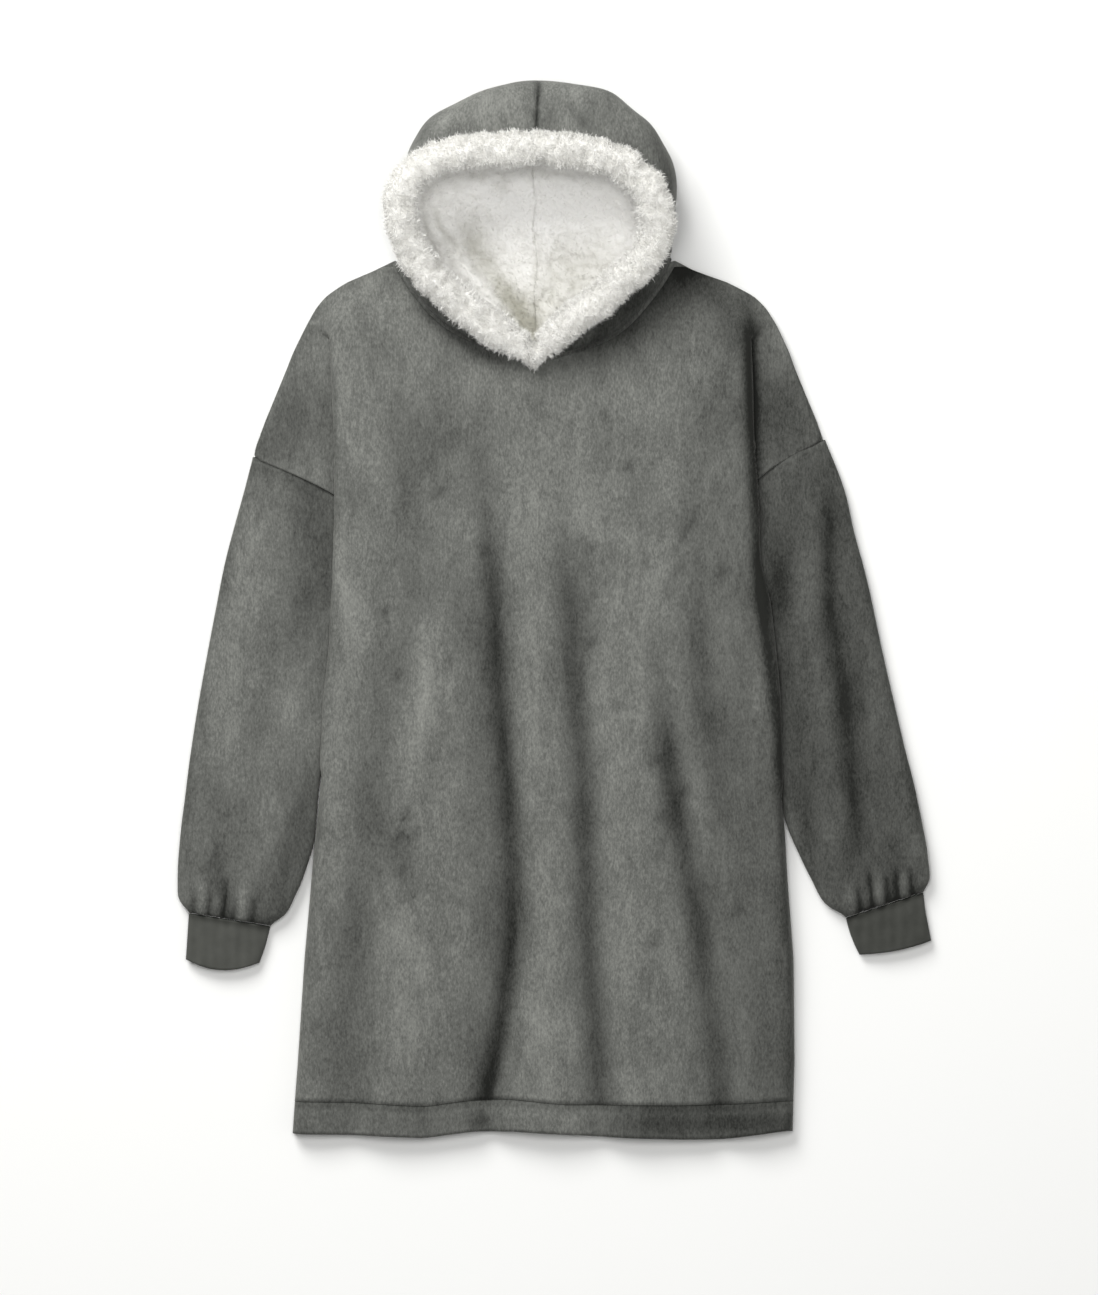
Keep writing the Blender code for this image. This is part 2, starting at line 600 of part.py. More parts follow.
def front_row(y, neck_x=None, y_of_x=None):
    """One whole row, or its two halves beside the neck opening."""
    top = read(HEIGHTS, "top", y)
    drop = read(MIDDLE_DROP, "drop", y)
    halves = []
    for edge, keep in ((RIGHT_EDGE, "right"), (LEFT_EDGE, "left")):
        first, last = right_top(y) if keep == "right" else left_top(y)
        fold = read(edge, "fold", y)
        inner = last if keep == "right" else first
        if neck_x:
            inner = neck_x[keep]
        outer = fold - math.copysign(BODY_WALL / 2, fold)
        low_x, high_x = (outer, inner) if keep == "right" else (inner, outer)
        x, lifts = top_rows(y, low_x, high_x, keep)
        share = (x - right_top(y)[0]) / (left_top(y)[1] - right_top(y)[0])
        middle = np.sin(np.pi * np.clip(share, 0, 1)) ** 2
        z = np.maximum(top + lifts - drop * middle, Z_ON_BACK + SEAM_GAP)
        points = np.stack([x, np.full(len(x), y), z], axis=1)
        side = flank(edge, y, *(points[0, [0, 2]] if keep == "right" else points[-1, [0, 2]]))
        if keep == "right":
            points = np.vstack([side[::-1], points])
        else:
            points = np.vstack([points, side])
        halves.append(points)
    row = halves if neck_x else [np.vstack([halves[0], halves[1][1:]])]
    if y_of_x is not None:
        for points in row:
            points[:, 1] = y_of_x(points[:, 0])
    return row


def front_panel(collection):
    """The front from the hem seam to the shoulders, open at the neck."""
    def hem_seam(x):
        return read(HEM_LINE, "seam", x, "x") + SEAM_GAP
    rows = [front_row(HEM_LINE["seam"].mean(), y_of_x=hem_seam)[0]]
    rows += [front_row(y)[0] for y in (*FRONT_ROWS, NECK_FRONT_Y)]
    right_neck, left_neck = neckline(HOOD_RIGHT), neckline(HOOD_LEFT)
    upper = []
    for y in NECK_ROWS:
        neck_x = {
            "right": np.interp(y, right_neck[:, 1], right_neck[:, 0]),
            "left": np.interp(y, left_neck[:, 1], left_neck[:, 0]),
        }
        upper.append(front_row(y, neck_x))
    return panel_with_neck("front_panel", rows, upper, collection)


def panel_with_neck(name, rows, upper, collection):
    """One surface from whole rows, then two halves of rows on either side of the neck."""
    width = len(rows[0])
    points = list(np.vstack(rows))
    faces = []
    for i in range(len(rows) - 1):
        for j in range(width - 1):
            a = i * width + j
            faces.extend(split(points, a, a + 1, a + 1 + width, a + width))
    last = (len(rows) - 1) * width
    right_count = len(upper[0][0])
    starts = {0: last, 1: last + right_count - 1}
    for half in (0, 1):
        below = [starts[half] + j for j in range(len(upper[0][half]))]
        for row in upper:
            here = [len(points) + j for j in range(len(row[half]))]
            points.extend(row[half])
            for j in range(len(here) - 1):
                faces.extend(split(points, below[j], below[j + 1], here[j + 1], here[j]))
            below = here
    return cloth_object(name, points, faces, BODY_WALL, "plush", collection)


def hem_front(collection):
    """The hem band of the front, from the wavy lower edge to the seam."""
    def at(share):
        def y_of_x(x):
            seam, edge = read(HEM_LINE, "seam", x, "x"), read(HEM_LINE, "edge", x, "x")
            return (seam - SEAM_GAP) + share * (edge - seam + SEAM_GAP)
        return y_of_x
    base = HEM_LINE["seam"].mean()
    rows = [front_row(base - HEM_DEPTH * share, y_of_x=at(share))[0] for share in (1.0, 0.5, 0.0)]
    return loft("hem_band_front", rows, BODY_WALL, "plush", collection)


def flat_panel(name, outline, wall, cloth, collection):
    """A flat panel on the surface: a filled outline, extruded by half its wall each way."""
    curve = bpy.data.curves.new(name, "CURVE")
    curve.dimensions = "2D"
    curve.fill_mode = "BOTH"
    curve.extrude = wall / 2
    line = curve.splines.new("POLY")
    line.points.add(len(outline) - 1)
    for point, (x, y) in zip(line.points, outline):
        point.co = (x, y, 0.0, 1.0)
    line.use_cyclic_u = True
    made = bpy.data.objects.new(name, curve)
    made.location.z = wall / 2
    collection.objects.link(made)
    curve.materials.append(material(name, cloth))
    return made


def back_edge(edge, armhole):
    """One side of the back panel from the hem seam to the neck point."""
    side = math.copysign(1.0, edge["fold"][0])
    tip = armhole["y"].max()
    points = []
    for y in np.concatenate([[HEM_Y], edge["y"][1:]]):
        x = read(edge, "outer", y)
        if armhole["y"].min() < y <= tip:
            x -= side * 2 * SEAM_GAP
        points.append((x, y))
    return points


def back_neck():
    """The back's neck edge: the part of the hood's neck seam that lies down, moved off it."""
    right = hood_section(HOOD_RIGHT, 0)[NECK_SEAM_FRONT_POINTS:-1]
    left = hood_section(HOOD_LEFT, 0)[NECK_SEAM_FRONT_POINTS:-1]
    return [(x, y - NECK_ROOM_BACK) for x, y, _ in list(right) + list(left[::-1])]


def back_panel(collection):
    """The flat back inside the side, armhole and neck seams."""
    right = back_edge(RIGHT_EDGE, ARMHOLE_RIGHT)
    left = back_edge(LEFT_EDGE, ARMHOLE_LEFT)
    outline = right + back_neck() + left[::-1]
    return flat_panel("back_panel", outline, BODY_WALL, "plush", collection)


def hem_back(collection):
    """The hem band of the back, flat on the surface."""
    y_seam, y_edge = HEM_Y - SEAM_GAP, HEM_BACK_EDGE_Y
    outline = [
        (read(RIGHT_EDGE, "outer", y_seam), y_seam),
        (read(RIGHT_EDGE, "outer", y_edge), y_edge),
        (read(LEFT_EDGE, "outer", y_edge), y_edge),
        (read(LEFT_EDGE, "outer", y_seam), y_seam),
    ]
    return flat_panel("hem_band_back", outline[::-1], BODY_WALL, "plush", collection)


def tube_ring(outer, inner, bow, height, wall, gather=0.0):
    """A flat-bottomed ring between two edges: domed above, lying flat below."""
    outer, inner = np.array(outer), np.array(inner)
    across = inner - outer
    size = np.linalg.norm(across)
    across = across / size
    along = np.array((-across[1], across[0]))
    if along[1] < 0:
        along = -along
    centre = (outer + inner) / 2
    half = size / 2 - wall / 2
    points = []
    for k in range(TOP_STEPS + 1):
        angle = math.pi * (1 - k / TOP_STEPS)
        reach = math.cos(angle)
        lift = abs(math.sin(angle)) ** DOME_POWER
        wave = gather * math.cos(GATHERS * math.pi * (reach + 1)) * lift
        z = wall / 2 + (height - wall) * (SIDE_SHARE + (1 - SIDE_SHARE) * lift) + wave
        plan = centre + across * half * reach + along * bow * (1 - reach**2)
        points.append((plan[0], plan[1], z))
    for k in range(BOTTOM_STEPS + 1):
        reach = (1 - 2 * k / BOTTOM_STEPS) * (1 - wall / half)
        plan = centre + across * half * reach + along * bow * (1 - reach**2)
        points.append((plan[0], plan[1], wall / 2))
    return np.array(points)


def armhole_ring(armhole, edge, wall):
    """The sleeve's first ring: the armhole seam above and below, clear of the body's side."""
    seam = np.stack([armhole["x"], armhole["y"], armhole["z"]], axis=1)
    side = math.copysign(1.0, seam[0, 0])
    shift = np.array((side * ARMHOLE_ROOM[0], -ARMHOLE_ROOM[1], 0.0))
    above = spline(seam, (1 - np.cos(np.pi * np.linspace(0, 1, TOP_STEPS + 1))) / 2) + shift
    above[0] -= (side * wall / 2, 0.0, SHOULDER_END_DROP)
    above[-1] += (side * (wall / 2 + UNDERARM_END[0]), -UNDERARM_END[1], -UNDERARM_END[2])
    below = spline(seam, np.linspace(0.90, 0.05, BOTTOM_STEPS + 1)) + shift
    below[:, 2] = wall / 2
    ring = np.vstack([above, below])
    nearest = np.abs(read(edge, "tuck", ring[:, 1])) + wall / 2 + 2 * SEAM_GAP
    ring[:, 0] = side * np.maximum(np.abs(ring[:, 0]), nearest)
    return ring


def sleeve(name, rows, armhole, edge, collection):
    """A sleeve from the armhole seam to the gathers above the cuff."""
    rings = [armhole_ring(armhole, edge, BODY_WALL)]
    count = len(rows["bow"])
    for i in range(count):
        gather = GATHER_DEPTH * max(0.0, (i - count + 1 + GATHERED_SECTIONS) / GATHERED_SECTIONS)
        rings.append(
            tube_ring(
                (rows["outer_x"][i], rows["outer_y"][i]),
                (rows["inner_x"][i], rows["inner_y"][i]),
                rows["bow"][i], rows["height"][i], BODY_WALL, gather,
            )
        )
    return loft(name, rings, BODY_WALL, "plush", collection, closed=True)


def cuff(name, rows, collection):
    """A knit cuff, a short flat tube."""
    rings = []
    for i in range(len(rows["bow"])):
        rings.append(
            tube_ring(
                (rows["outer_x"][i], rows["outer_y"][i]),
                (rows["inner_x"][i], rows["inner_y"][i]),
                rows["bow"][i], rows["height"][i], CUFF_WALL,
            )
        )
    return loft(name, rings, CUFF_WALL, "knit", collection, closed=True)


def hood_half(name, hood, collection):
    """Half of the hood, from the neck seam over the side to the brow."""
    sections = [hood_section(hood, i) for i in range(len(hood["rim_x"]))]
    return loft(name, sections, HOOD_WALL, "plush", collection)


def surface_normals(grid):
    """Unit normals of a grid of points, each the mean of the faces round it."""
    facing = np.cross(grid[1:, 1:] - grid[:-1, :-1], grid[1:, :-1] - grid[:-1, 1:])
    facing /= np.maximum(np.linalg.norm(facing, axis=2, keepdims=True), 1e-12)
    normals = np.zeros_like(grid)
    for rows in (slice(None, -1), slice(1, None)):
        for columns in (slice(None, -1), slice(1, None)):
            normals[rows, columns] += facing
    return normals / np.maximum(np.linalg.norm(normals, axis=2, keepdims=True), 1e-12)


def lining_half(name, hood, collection):
    """The hood's own points moved inwards by half of both walls and the gap.

    One section more brings it down over the back panel to the front of the neck.
    """
    grid = np.array([hood_section(hood, i) for i in range(len(hood["rim_x"]) - 2)])
    inward = surface_normals(grid)
    grid, inward = grid[1:], inward[1:]
    if inward[2, -3][2] < 0:
        inward = -inward
    inward[:, -1, 0] = 0.0
    room = LINING_CLEARANCE_LEFT if hood is HOOD_LEFT else LINING_CLEARANCE_RIGHT
    clearance = np.full(len(grid), room)
    clearance[-1] += BROW_CLEARANCE
    moved = grid + inward * ((HOOD_WALL + LINING_WALL) / 2 + clearance)[:, None, None]
    side = 1.0 if hood is HOOD_LEFT else -1.0
    moved[:, -1, 0] += side * SEAM_GAP
    front = LINING_FRONT_LEFT if hood is HOOD_LEFT else LINING_FRONT_RIGHT
    first = spline(front, np.linspace(0, 1, HOOD_POINTS))
    past_neck = first + PAST_NECK_SHARE * (moved[0] - first)
    past_neck[:, 2] = np.maximum(past_neck[:, 2], Z_LINING_ON_BACK)
    added = np.stack([first, past_neck])
    sections, backing = np.concatenate([added, moved]), np.concatenate([added, grid])
    return loft(name, sections, LINING_WALL, "sherpa", collection, backing=backing)


def trim_half(name, hood, collection):
    """The rolled edge, an oval roll that follows the hood's rim."""
    rim = np.stack([hood["rim_x"], hood["rim_y"], hood["rim_z"]], axis=1)
    path = spline(rim, np.linspace(0, 1, TRIM_SECTIONS))
    side = 1.0 if hood is HOOD_LEFT else -1.0
    path[:, 2] += TRIM_HEIGHT / 2 + HOOD_WALL / 2 + SEAM_GAP
    directions = np.gradient(path, axis=0)
    directions[0] = (side, 0.0, 0.0)
    directions[-1] = (-side, 0.0, 0.0)
    sections = []
    steps = np.linspace(0, 2 * math.pi, TRIM_POINTS, endpoint=False)
    for point, direction in zip(path, directions):
        level = np.array((direction[1], -direction[0], 0.0))
        level /= np.linalg.norm(level)
        across = level * TRIM_WIDTH / 2
        up = np.array((0.0, 0.0, TRIM_HEIGHT / 2))
        ring = [point + across * math.cos(a) + up * math.sin(a) for a in steps]
        sections.append(np.array(ring))
    return loft(name, sections, 0.0, "sherpa", collection, closed=True, solid=True)


def main():
    """Builds the fourteen sewn pieces."""
    clear_scene()
    collection = new_collection()
    front_panel(collection)
    back_panel(collection)
    hem_front(collection)
    hem_back(collection)
    sleeve("sleeve_right", SLEEVE_RIGHT, ARMHOLE_RIGHT, RIGHT_EDGE, collection)
    sleeve("sleeve_left", SLEEVE_LEFT, ARMHOLE_LEFT, LEFT_EDGE, collection)
    cuff("cuff_right", CUFF_RIGHT, collection)
    cuff("cuff_left", CUFF_LEFT, collection)
    hood_half("hood_right", HOOD_RIGHT, collection)
    hood_half("hood_left", HOOD_LEFT, collection)
    lining_half("hood_lining_right", HOOD_RIGHT, collection)
    lining_half("hood_lining_left", HOOD_LEFT, collection)
    trim_half("hood_trim_right", HOOD_RIGHT, collection)
    trim_half("hood_trim_left", HOOD_LEFT, collection)


main()
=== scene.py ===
"""A wearable blanket hoodie laid flat on its back, dressed for its portrait.

Metres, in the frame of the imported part: +X is the wearer's left, +Y runs from the hem to the
hood and +Z is up. The cloth is lofted through the same sections as the solids, only finer.
"""

import math

import bmesh
import bpy
import numpy as np
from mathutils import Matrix, Vector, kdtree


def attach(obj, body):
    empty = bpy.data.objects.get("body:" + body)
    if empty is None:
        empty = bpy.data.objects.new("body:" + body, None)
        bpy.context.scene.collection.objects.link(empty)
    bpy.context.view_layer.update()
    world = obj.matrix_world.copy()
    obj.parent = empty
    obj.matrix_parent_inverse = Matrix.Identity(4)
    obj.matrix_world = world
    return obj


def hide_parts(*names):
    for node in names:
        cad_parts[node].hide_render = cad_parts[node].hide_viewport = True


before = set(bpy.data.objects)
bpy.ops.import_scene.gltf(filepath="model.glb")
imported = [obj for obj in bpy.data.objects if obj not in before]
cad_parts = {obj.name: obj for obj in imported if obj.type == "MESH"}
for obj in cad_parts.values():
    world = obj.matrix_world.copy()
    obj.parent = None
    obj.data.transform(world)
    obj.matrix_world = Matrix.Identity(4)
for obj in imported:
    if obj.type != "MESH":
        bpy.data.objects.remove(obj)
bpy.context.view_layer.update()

# The studio. A white paper sweep and three soft lights: a large one from the upper left, which
# draws the folds, one overhead and a weak one from the right. The camera hangs straight above
# the garment on a long lens, as a flat-lay picture is taken.
PICTURE_HEIGHT = 1.295
PICTURE_CENTRE = (-0.0055, -0.0360)
LENS_MM = 200.0
FILM_MM = 36.0
CLOTH_LEVEL = 0.02


def linear(hex_colour):
    """An sRGB hex colour as linear red, green, blue and alpha."""
    values = [int(hex_colour[i:i + 2], 16) / 255 for i in (1, 3, 5)]
    return (*(v / 12.92 if v <= 0.04045 else ((v + 0.055) / 1.055) ** 2.4 for v in values), 1.0)


def add(tree, kind, inputs=None, **settings):
    """A node with its settings and inputs. An input that is a socket is linked."""
    node = tree.nodes.new(kind)
    for name, value in settings.items():
        setattr(node, name, value)
    for name, value in (inputs or {}).items():
        if isinstance(value, bpy.types.NodeSocket):
            tree.links.new(value, node.inputs[name])
        else:
            node.inputs[name].default_value = value
    return node


def new_material(name):
    """An empty material: its tree, its shader and its coordinates in metres."""
    made = bpy.data.materials.new(name)
    made.use_nodes = True
    tree = made.node_tree
    shader = tree.nodes["Principled BSDF"]
    place = add(tree, "ShaderNodeTexCoord").outputs["Object"]
    return made, tree, shader, place


camera_data = bpy.data.cameras.new("camera")
camera_data.sensor_fit = "VERTICAL"
camera_data.sensor_height = FILM_MM
camera_data.lens = LENS_MM
camera_data.clip_end = 60.0
camera = bpy.data.objects.new("camera", camera_data)
camera.location = (*PICTURE_CENTRE, CLOTH_LEVEL + PICTURE_HEIGHT * LENS_MM / FILM_MM)
bpy.context.scene.collection.objects.link(camera)
bpy.context.scene.camera = camera

FLOOR_HALF = 9.0
floor_mesh = bpy.data.meshes.new("paper_sweep")
floor_mesh.from_pydata(
    [(x * FLOOR_HALF, y * FLOOR_HALF, -0.0006) for x, y in ((-1, -1), (1, -1), (1, 1), (-1, 1))],
    [], [(0, 1, 2, 3)],
)
floor = bpy.data.objects.new("paper_sweep", floor_mesh)
bpy.context.scene.collection.objects.link(floor)
paper, tree, shader, place = new_material("white_studio_paper")
shader.inputs["Roughness"].default_value = 0.95
shader.inputs["Specular IOR Level"].default_value = 0.1
shader.inputs["Base Color"].default_value = linear("#ECECEA")
floor_mesh.materials.append(paper)


def soft_light(name, place, size, watts, aim=(0.0, 0.0, 0.0)):
    """A square soft box that looks at a point."""
    lamp = bpy.data.lights.new(name, "AREA")
    lamp.shape = "SQUARE"
    lamp.size = size
    lamp.energy = watts
    holder = bpy.data.objects.new(name, lamp)
    holder.location = place
    holder.rotation_euler = (Vector(aim) - Vector(place)).to_track_quat("-Z", "Y").to_euler()
    bpy.context.scene.collection.objects.link(holder)


soft_light("key_soft_box", (-1.9, 3.3, 3.0), 2.6, 240.0)
soft_light("top_soft_box", (-0.05, 0.25, 3.6), 1.5, 66.0)
soft_light("right_fill", (3.0, -0.6, 2.6), 2.4, 11.0)
world = bpy.data.worlds.new("pale_room")
world.use_nodes = True
world.node_tree.nodes["Background"].inputs["Color"].default_value = (1.0, 1.0, 1.0, 1.0)
world.node_tree.nodes["Background"].inputs["Strength"].default_value = 0.20
bpy.context.scene.world = world
bpy.context.scene.view_settings.view_transform = "Standard"

# Plush cloth. Polyester velvet with a pile of about 2 mm, knitted and sheared, in stone grey.
# The pile leans, so it shows lighter and darker where a hand has brushed it, with a fine
# upright grain. Each piece carries one value per point. That value holds the brushing together
# with painted shade in the folds, creases and seams and on the side away from the light, and
# painted light on the ridges.
PILE_GRAIN_MM = 1.8
BRUSHED_PATCH_MM = 55.0
CRUSHED_MARK_MM = 13.0


def per_metre(millimetres):
    return 1000.0 / millimetres


def plush(name, dark, middle, light):
    """Plush toned by one value per point, which holds the pile's brushing and painted light and shade together: minus
    one darkest, nought neutral, plus one lightest.
    """
    made, tree, shader, place = new_material(name)
    stretched = add(tree, "ShaderNodeMapping", {"Vector": place, "Scale": (1.0, 0.42, 1.0)})
    upright = stretched.outputs["Vector"]
    nap_and_shading = add(tree, "ShaderNodeAttribute", attribute_name="nap_and_shading").outputs["Fac"]
    grain = add(tree, "ShaderNodeTexNoise", {
        "Vector": upright, "Scale": per_metre(PILE_GRAIN_MM), "Detail": 3.0, "Roughness": 0.65})
    patch = add(tree, "ShaderNodeTexNoise", {
        "Vector": upright, "Scale": per_metre(BRUSHED_PATCH_MM), "Detail": 4.0,
        "Roughness": 0.62, "Distortion": 0.5})
    mark = add(tree, "ShaderNodeTexNoise", {
        "Vector": upright, "Scale": per_metre(CRUSHED_MARK_MM), "Detail": 5.0,
        "Roughness": 0.7, "Distortion": 0.9})
    # Painted light and shade, with the pile's brushing, move the tone between the dark and light colours.
    nap_and_shading_level = add(tree, "ShaderNodeMath", {0: nap_and_shading, 1: 0.44, 2: 0.5}, operation="MULTIPLY_ADD")
    calm = add(tree, "ShaderNodeMath", {0: nap_and_shading, 1: 0.62, 2: 1.0}, operation="MULTIPLY_ADD", use_clamp=True)
    mottle = add(tree, "ShaderNodeMath", {0: 0.0, 1: 0.0})
    for noise, share in ((patch, 0.42), (mark, 0.56), (grain, 0.86)):
        centred = add(tree, "ShaderNodeMath", {0: noise.outputs["Fac"], 1: -0.5}, operation="ADD")
        mottle = add(tree, "ShaderNodeMath", {
            0: centred.outputs[0], 1: share, 2: mottle.outputs[0]}, operation="MULTIPLY_ADD")
    tone = add(tree, "ShaderNodeMath", {
        0: mottle.outputs[0], 1: calm.outputs[0], 2: nap_and_shading_level.outputs[0]}, operation="MULTIPLY_ADD")
    ramp = add(tree, "ShaderNodeValToRGB", {"Fac": tone.outputs[0]})
    ramp.color_ramp.elements[0].position = 0.0
    ramp.color_ramp.elements[0].color = linear(dark)
    ramp.color_ramp.elements[1].position = 1.0
    ramp.color_ramp.elements[1].color = linear(light)
    ramp.color_ramp.elements.new(0.5).color = linear(middle)
    tree.links.new(ramp.outputs["Color"], shader.inputs["Base Color"])
    rough = add(tree, "ShaderNodeBump", {
        "Height": grain.outputs["Fac"], "Strength": 0.45, "Distance": 0.0009})
    crushed = add(tree, "ShaderNodeBump", {
        "Height": mark.outputs["Fac"], "Normal": rough.outputs["Normal"], "Strength": 0.35,
        "Distance": 0.0016})
    tree.links.new(crushed.outputs["Normal"], shader.inputs["Normal"])
    shader.inputs["Roughness"].default_value = 0.8
    shader.inputs["Specular IOR Level"].default_value = 0.18
    shader.inputs["Sheen Weight"].default_value = 0.22
    shader.inputs["Sheen Roughness"].default_value = 0.45
    shader.inputs["Sheen Tint"].default_value = linear("#D6D7D0")
    return made


grey_plush = plush("stone_grey_plush", "#1A1B18", "#636460", "#91928C")

# The front. One panel of plush on fleece, cut wide: its two sides are turned under along the
# body, and it is sewn to the sleeves at dropped armholes, to the hood and to the hem band.
# Lengthwise folds run down from the chest where the spare width lies.
CLOTH = 0.005
SEAM_ROOM = 0.0004


def table(columns, *rows):
    """A short table as named columns, each a numpy array."""
    return dict(zip(columns.split(), np.array(rows, float).T))


def read(rows, column, at, key="y", spread=0.0):
    """One column read at places along the key column, its corners eased over a spread."""
    if spread == 0.0:
        return np.interp(at, rows[key], rows[column])
    offsets = np.linspace(-1, 1, 9)
    weights = 1 + np.cos(np.pi * offsets)
    readings = [np.interp(np.asarray(at) + spread * o, rows[key], rows[column]) for o in offsets]
    return sum(w * r for w, r in zip(weights, readings)) / weights.sum()


def through(points, fractions, level_end=False, steps=12):
    """A smooth curve through points, read at fractions of its length."""
    points = np.array(points, float)
    before = 2 * points[0] - points[1]
    after = 2 * points[-1] - points[-2]
    if level_end:
        after[1:] = points[-2][1:]
    p = np.vstack([before, points, after])
    t = np.linspace(0, 1, steps, endpoint=False)[:, None]
    dense = [
        0.5 * (2 * p[i] + (p[i + 1] - p[i - 1]) * t
               + (2 * p[i - 1] - 5 * p[i] + 4 * p[i + 1] - p[i + 2]) * t**2
               + (3 * p[i] - p[i - 1] - 3 * p[i + 1] + p[i + 2]) * t**3)
        for i in range(1, len(p) - 2)
    ]
    dense = np.vstack(dense + [p[-2][None, :]])
    length = np.concatenate([[0], np.cumsum(np.linalg.norm(np.diff(dense, axis=0), axis=1))])
    if length[-1] < 1e-9:
        return np.repeat(points[:1], len(fractions), axis=0)
    at = np.array(fractions) * length[-1]
    return np.stack([np.interp(at, length, dense[:, k]) for k in range(dense.shape[1])], axis=1)


def eased_steps(stops, gap):
    """Places from the first stop to the last, about a gap apart, with every stop among them."""
    places = [stops[0]]
    for a, b in zip(stops[:-1], stops[1:]):
        count = max(1, round((b - a) / gap))
        places.extend(np.linspace(a, b, count + 1)[1:])
    return np.array(places)


def along_line(points, line):
    """How far each point lies from a line of plan points, and how far along it, both in metres."""
    plan = points[:, :2]
    nearest, along, passed = np.full(len(plan), 9.0), np.zeros(len(plan)), 0.0
    for a, b in zip(line[:-1], line[1:]):
        leg = b - a
        length = np.linalg.norm(leg)
        t = np.clip(((plan - a) @ leg) / length**2, 0, 1)
        distance = np.linalg.norm(plan - a - t[:, None] * leg, axis=1)
        along = np.where(distance < nearest, passed + t * length, along)
        nearest = np.minimum(nearest, distance)
        passed += length
    return nearest, along, passed


def strokes(points, marks):
    """The sum of soft strokes, each (strength, half width, plan points in mm), faint at its ends."""
    total = np.zeros(len(points))
    for strength, half_width, line in marks:
        away, along, length = along_line(points, np.array(line, float) / 1000)
        fading = min(0.12, 0.35 * length)
        fade = np.clip(np.minimum(along, length - along) / fading, 0, 1)
        total += strength * fade * fade * (3 - 2 * fade) * np.exp(-((away * 1000 / half_width) ** 2))
    return total


def ripples(points, size, seed, stretch=1.0):
    """Slow random undulation from minus one to one, about a size apart, longer along Y."""
    draw = np.random.default_rng(seed)
    total = np.zeros(len(points))
    for _ in range(14):
        angle = draw.uniform(0, 2 * math.pi)
        pace = 2 * math.pi / size * draw.uniform(0.5, 1.3)
        phase = draw.uniform(0, 2 * math.pi)
        along = points[:, 0] * math.cos(angle) + points[:, 1] / stretch * math.sin(angle)
        total += np.sin(along * pace + points[:, 2] * pace * 0.3 + phase)
    return total / 14 ** 0.5 / 1.4


def grid_faces(rows, columns, closed=False):
    """Four-sided faces over a grid of points, wrapped along its columns if closed."""
    i, j = np.meshgrid(np.arange(rows - 1), np.arange(columns if closed else columns - 1), indexing="ij")
    a = (i * columns + j).ravel()
    b = (i * columns + (j + 1) % columns).ravel()
    return np.stack([a, b, b + columns, a + columns], axis=1)


def cloth_piece(name, points, faces, thickness, finish, nap_and_shading=None, values="nap_and_shading"):
    """A smooth mesh with one value per point, its tips joined, and thickened to a cloth."""
    mesh = bpy.data.meshes.new(name)
    mesh.from_pydata(points.tolist(), [], faces.tolist())
    if nap_and_shading is not None:
        mesh.attributes.new(values, "FLOAT", "POINT").data.foreach_set("value", nap_and_shading.astype("f"))
    shape = bmesh.new()
    shape.from_mesh(mesh)
    bmesh.ops.remove_doubles(shape, verts=shape.verts, dist=0.00005)
    bmesh.ops.recalc_face_normals(shape, faces=shape.faces)
    shape.to_mesh(mesh)
    shape.free()
    mesh.shade_smooth()
    mesh.materials.append(finish)
    piece = bpy.data.objects.new(name, mesh)
    bpy.context.scene.collection.objects.link(piece)
    if thickness > 0:
        wall = piece.modifiers.new("cloth", "SOLIDIFY")
        wall.thickness = thickness
        wall.offset = 0.0
    return piece


def worn(piece, node):
    """Rides on the body and stands for its solid, which it hides."""
    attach(piece, "root")
    if node is not None:
        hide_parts(node)
    return piece


EDGE_COLUMNS = "y outer fold tuck"
RIGHT_EDGE = table(
    EDGE_COLUMNS,
    (-0.524, -0.2625, -0.2625, -0.2625),
    (-0.449, -0.2570, -0.2570, -0.2570),
    (-0.348, -0.2505, -0.2505, -0.2505),
    (-0.269, -0.2435, -0.2435, -0.2435),
    (-0.234, -0.2405, -0.2405, -0.2405),
    (-0.209, -0.2378, -0.2378, -0.2378),
    (-0.173, -0.2345, -0.2355, -0.2345),
    (-0.089, -0.2215, -0.2315, -0.2215),
    (-0.033, -0.2095, -0.2255, -0.2095),
    (0.011, -0.1985, -0.2235, -0.1985),
    (0.052, -0.1900, -0.2215, -0.1900),
    (0.0715, -0.1935, -0.2210, -0.1905),
    (0.0915, -0.1995, -0.2205, -0.1910),
    (0.1115, -0.2135, -0.2205, -0.1920),
    (0.1245, -0.2365, -0.2205, -0.1940),
    (0.1415, -0.2725, -0.2210, -0.1965),
    (0.1535, -0.3015, -0.2215, -0.1985),
    (0.1900, -0.2880, -0.2225, -0.2040),
    (0.2285, -0.2720, -0.2230, -0.2100),
    (0.2600, -0.2590, -0.2245, -0.2170),
    (0.2875, -0.2450, -0.2265, -0.2265),
    (0.3035, -0.2360, -0.2250, -0.2290),
    (0.3155, -0.2260, -0.2165, -0.2230),
    (0.3275, -0.2085, -0.2005, -0.2060),
    (0.3395, -0.1850, -0.1790, -0.1830),
    (0.3515, -0.1600, -0.1590, -0.1595),
)
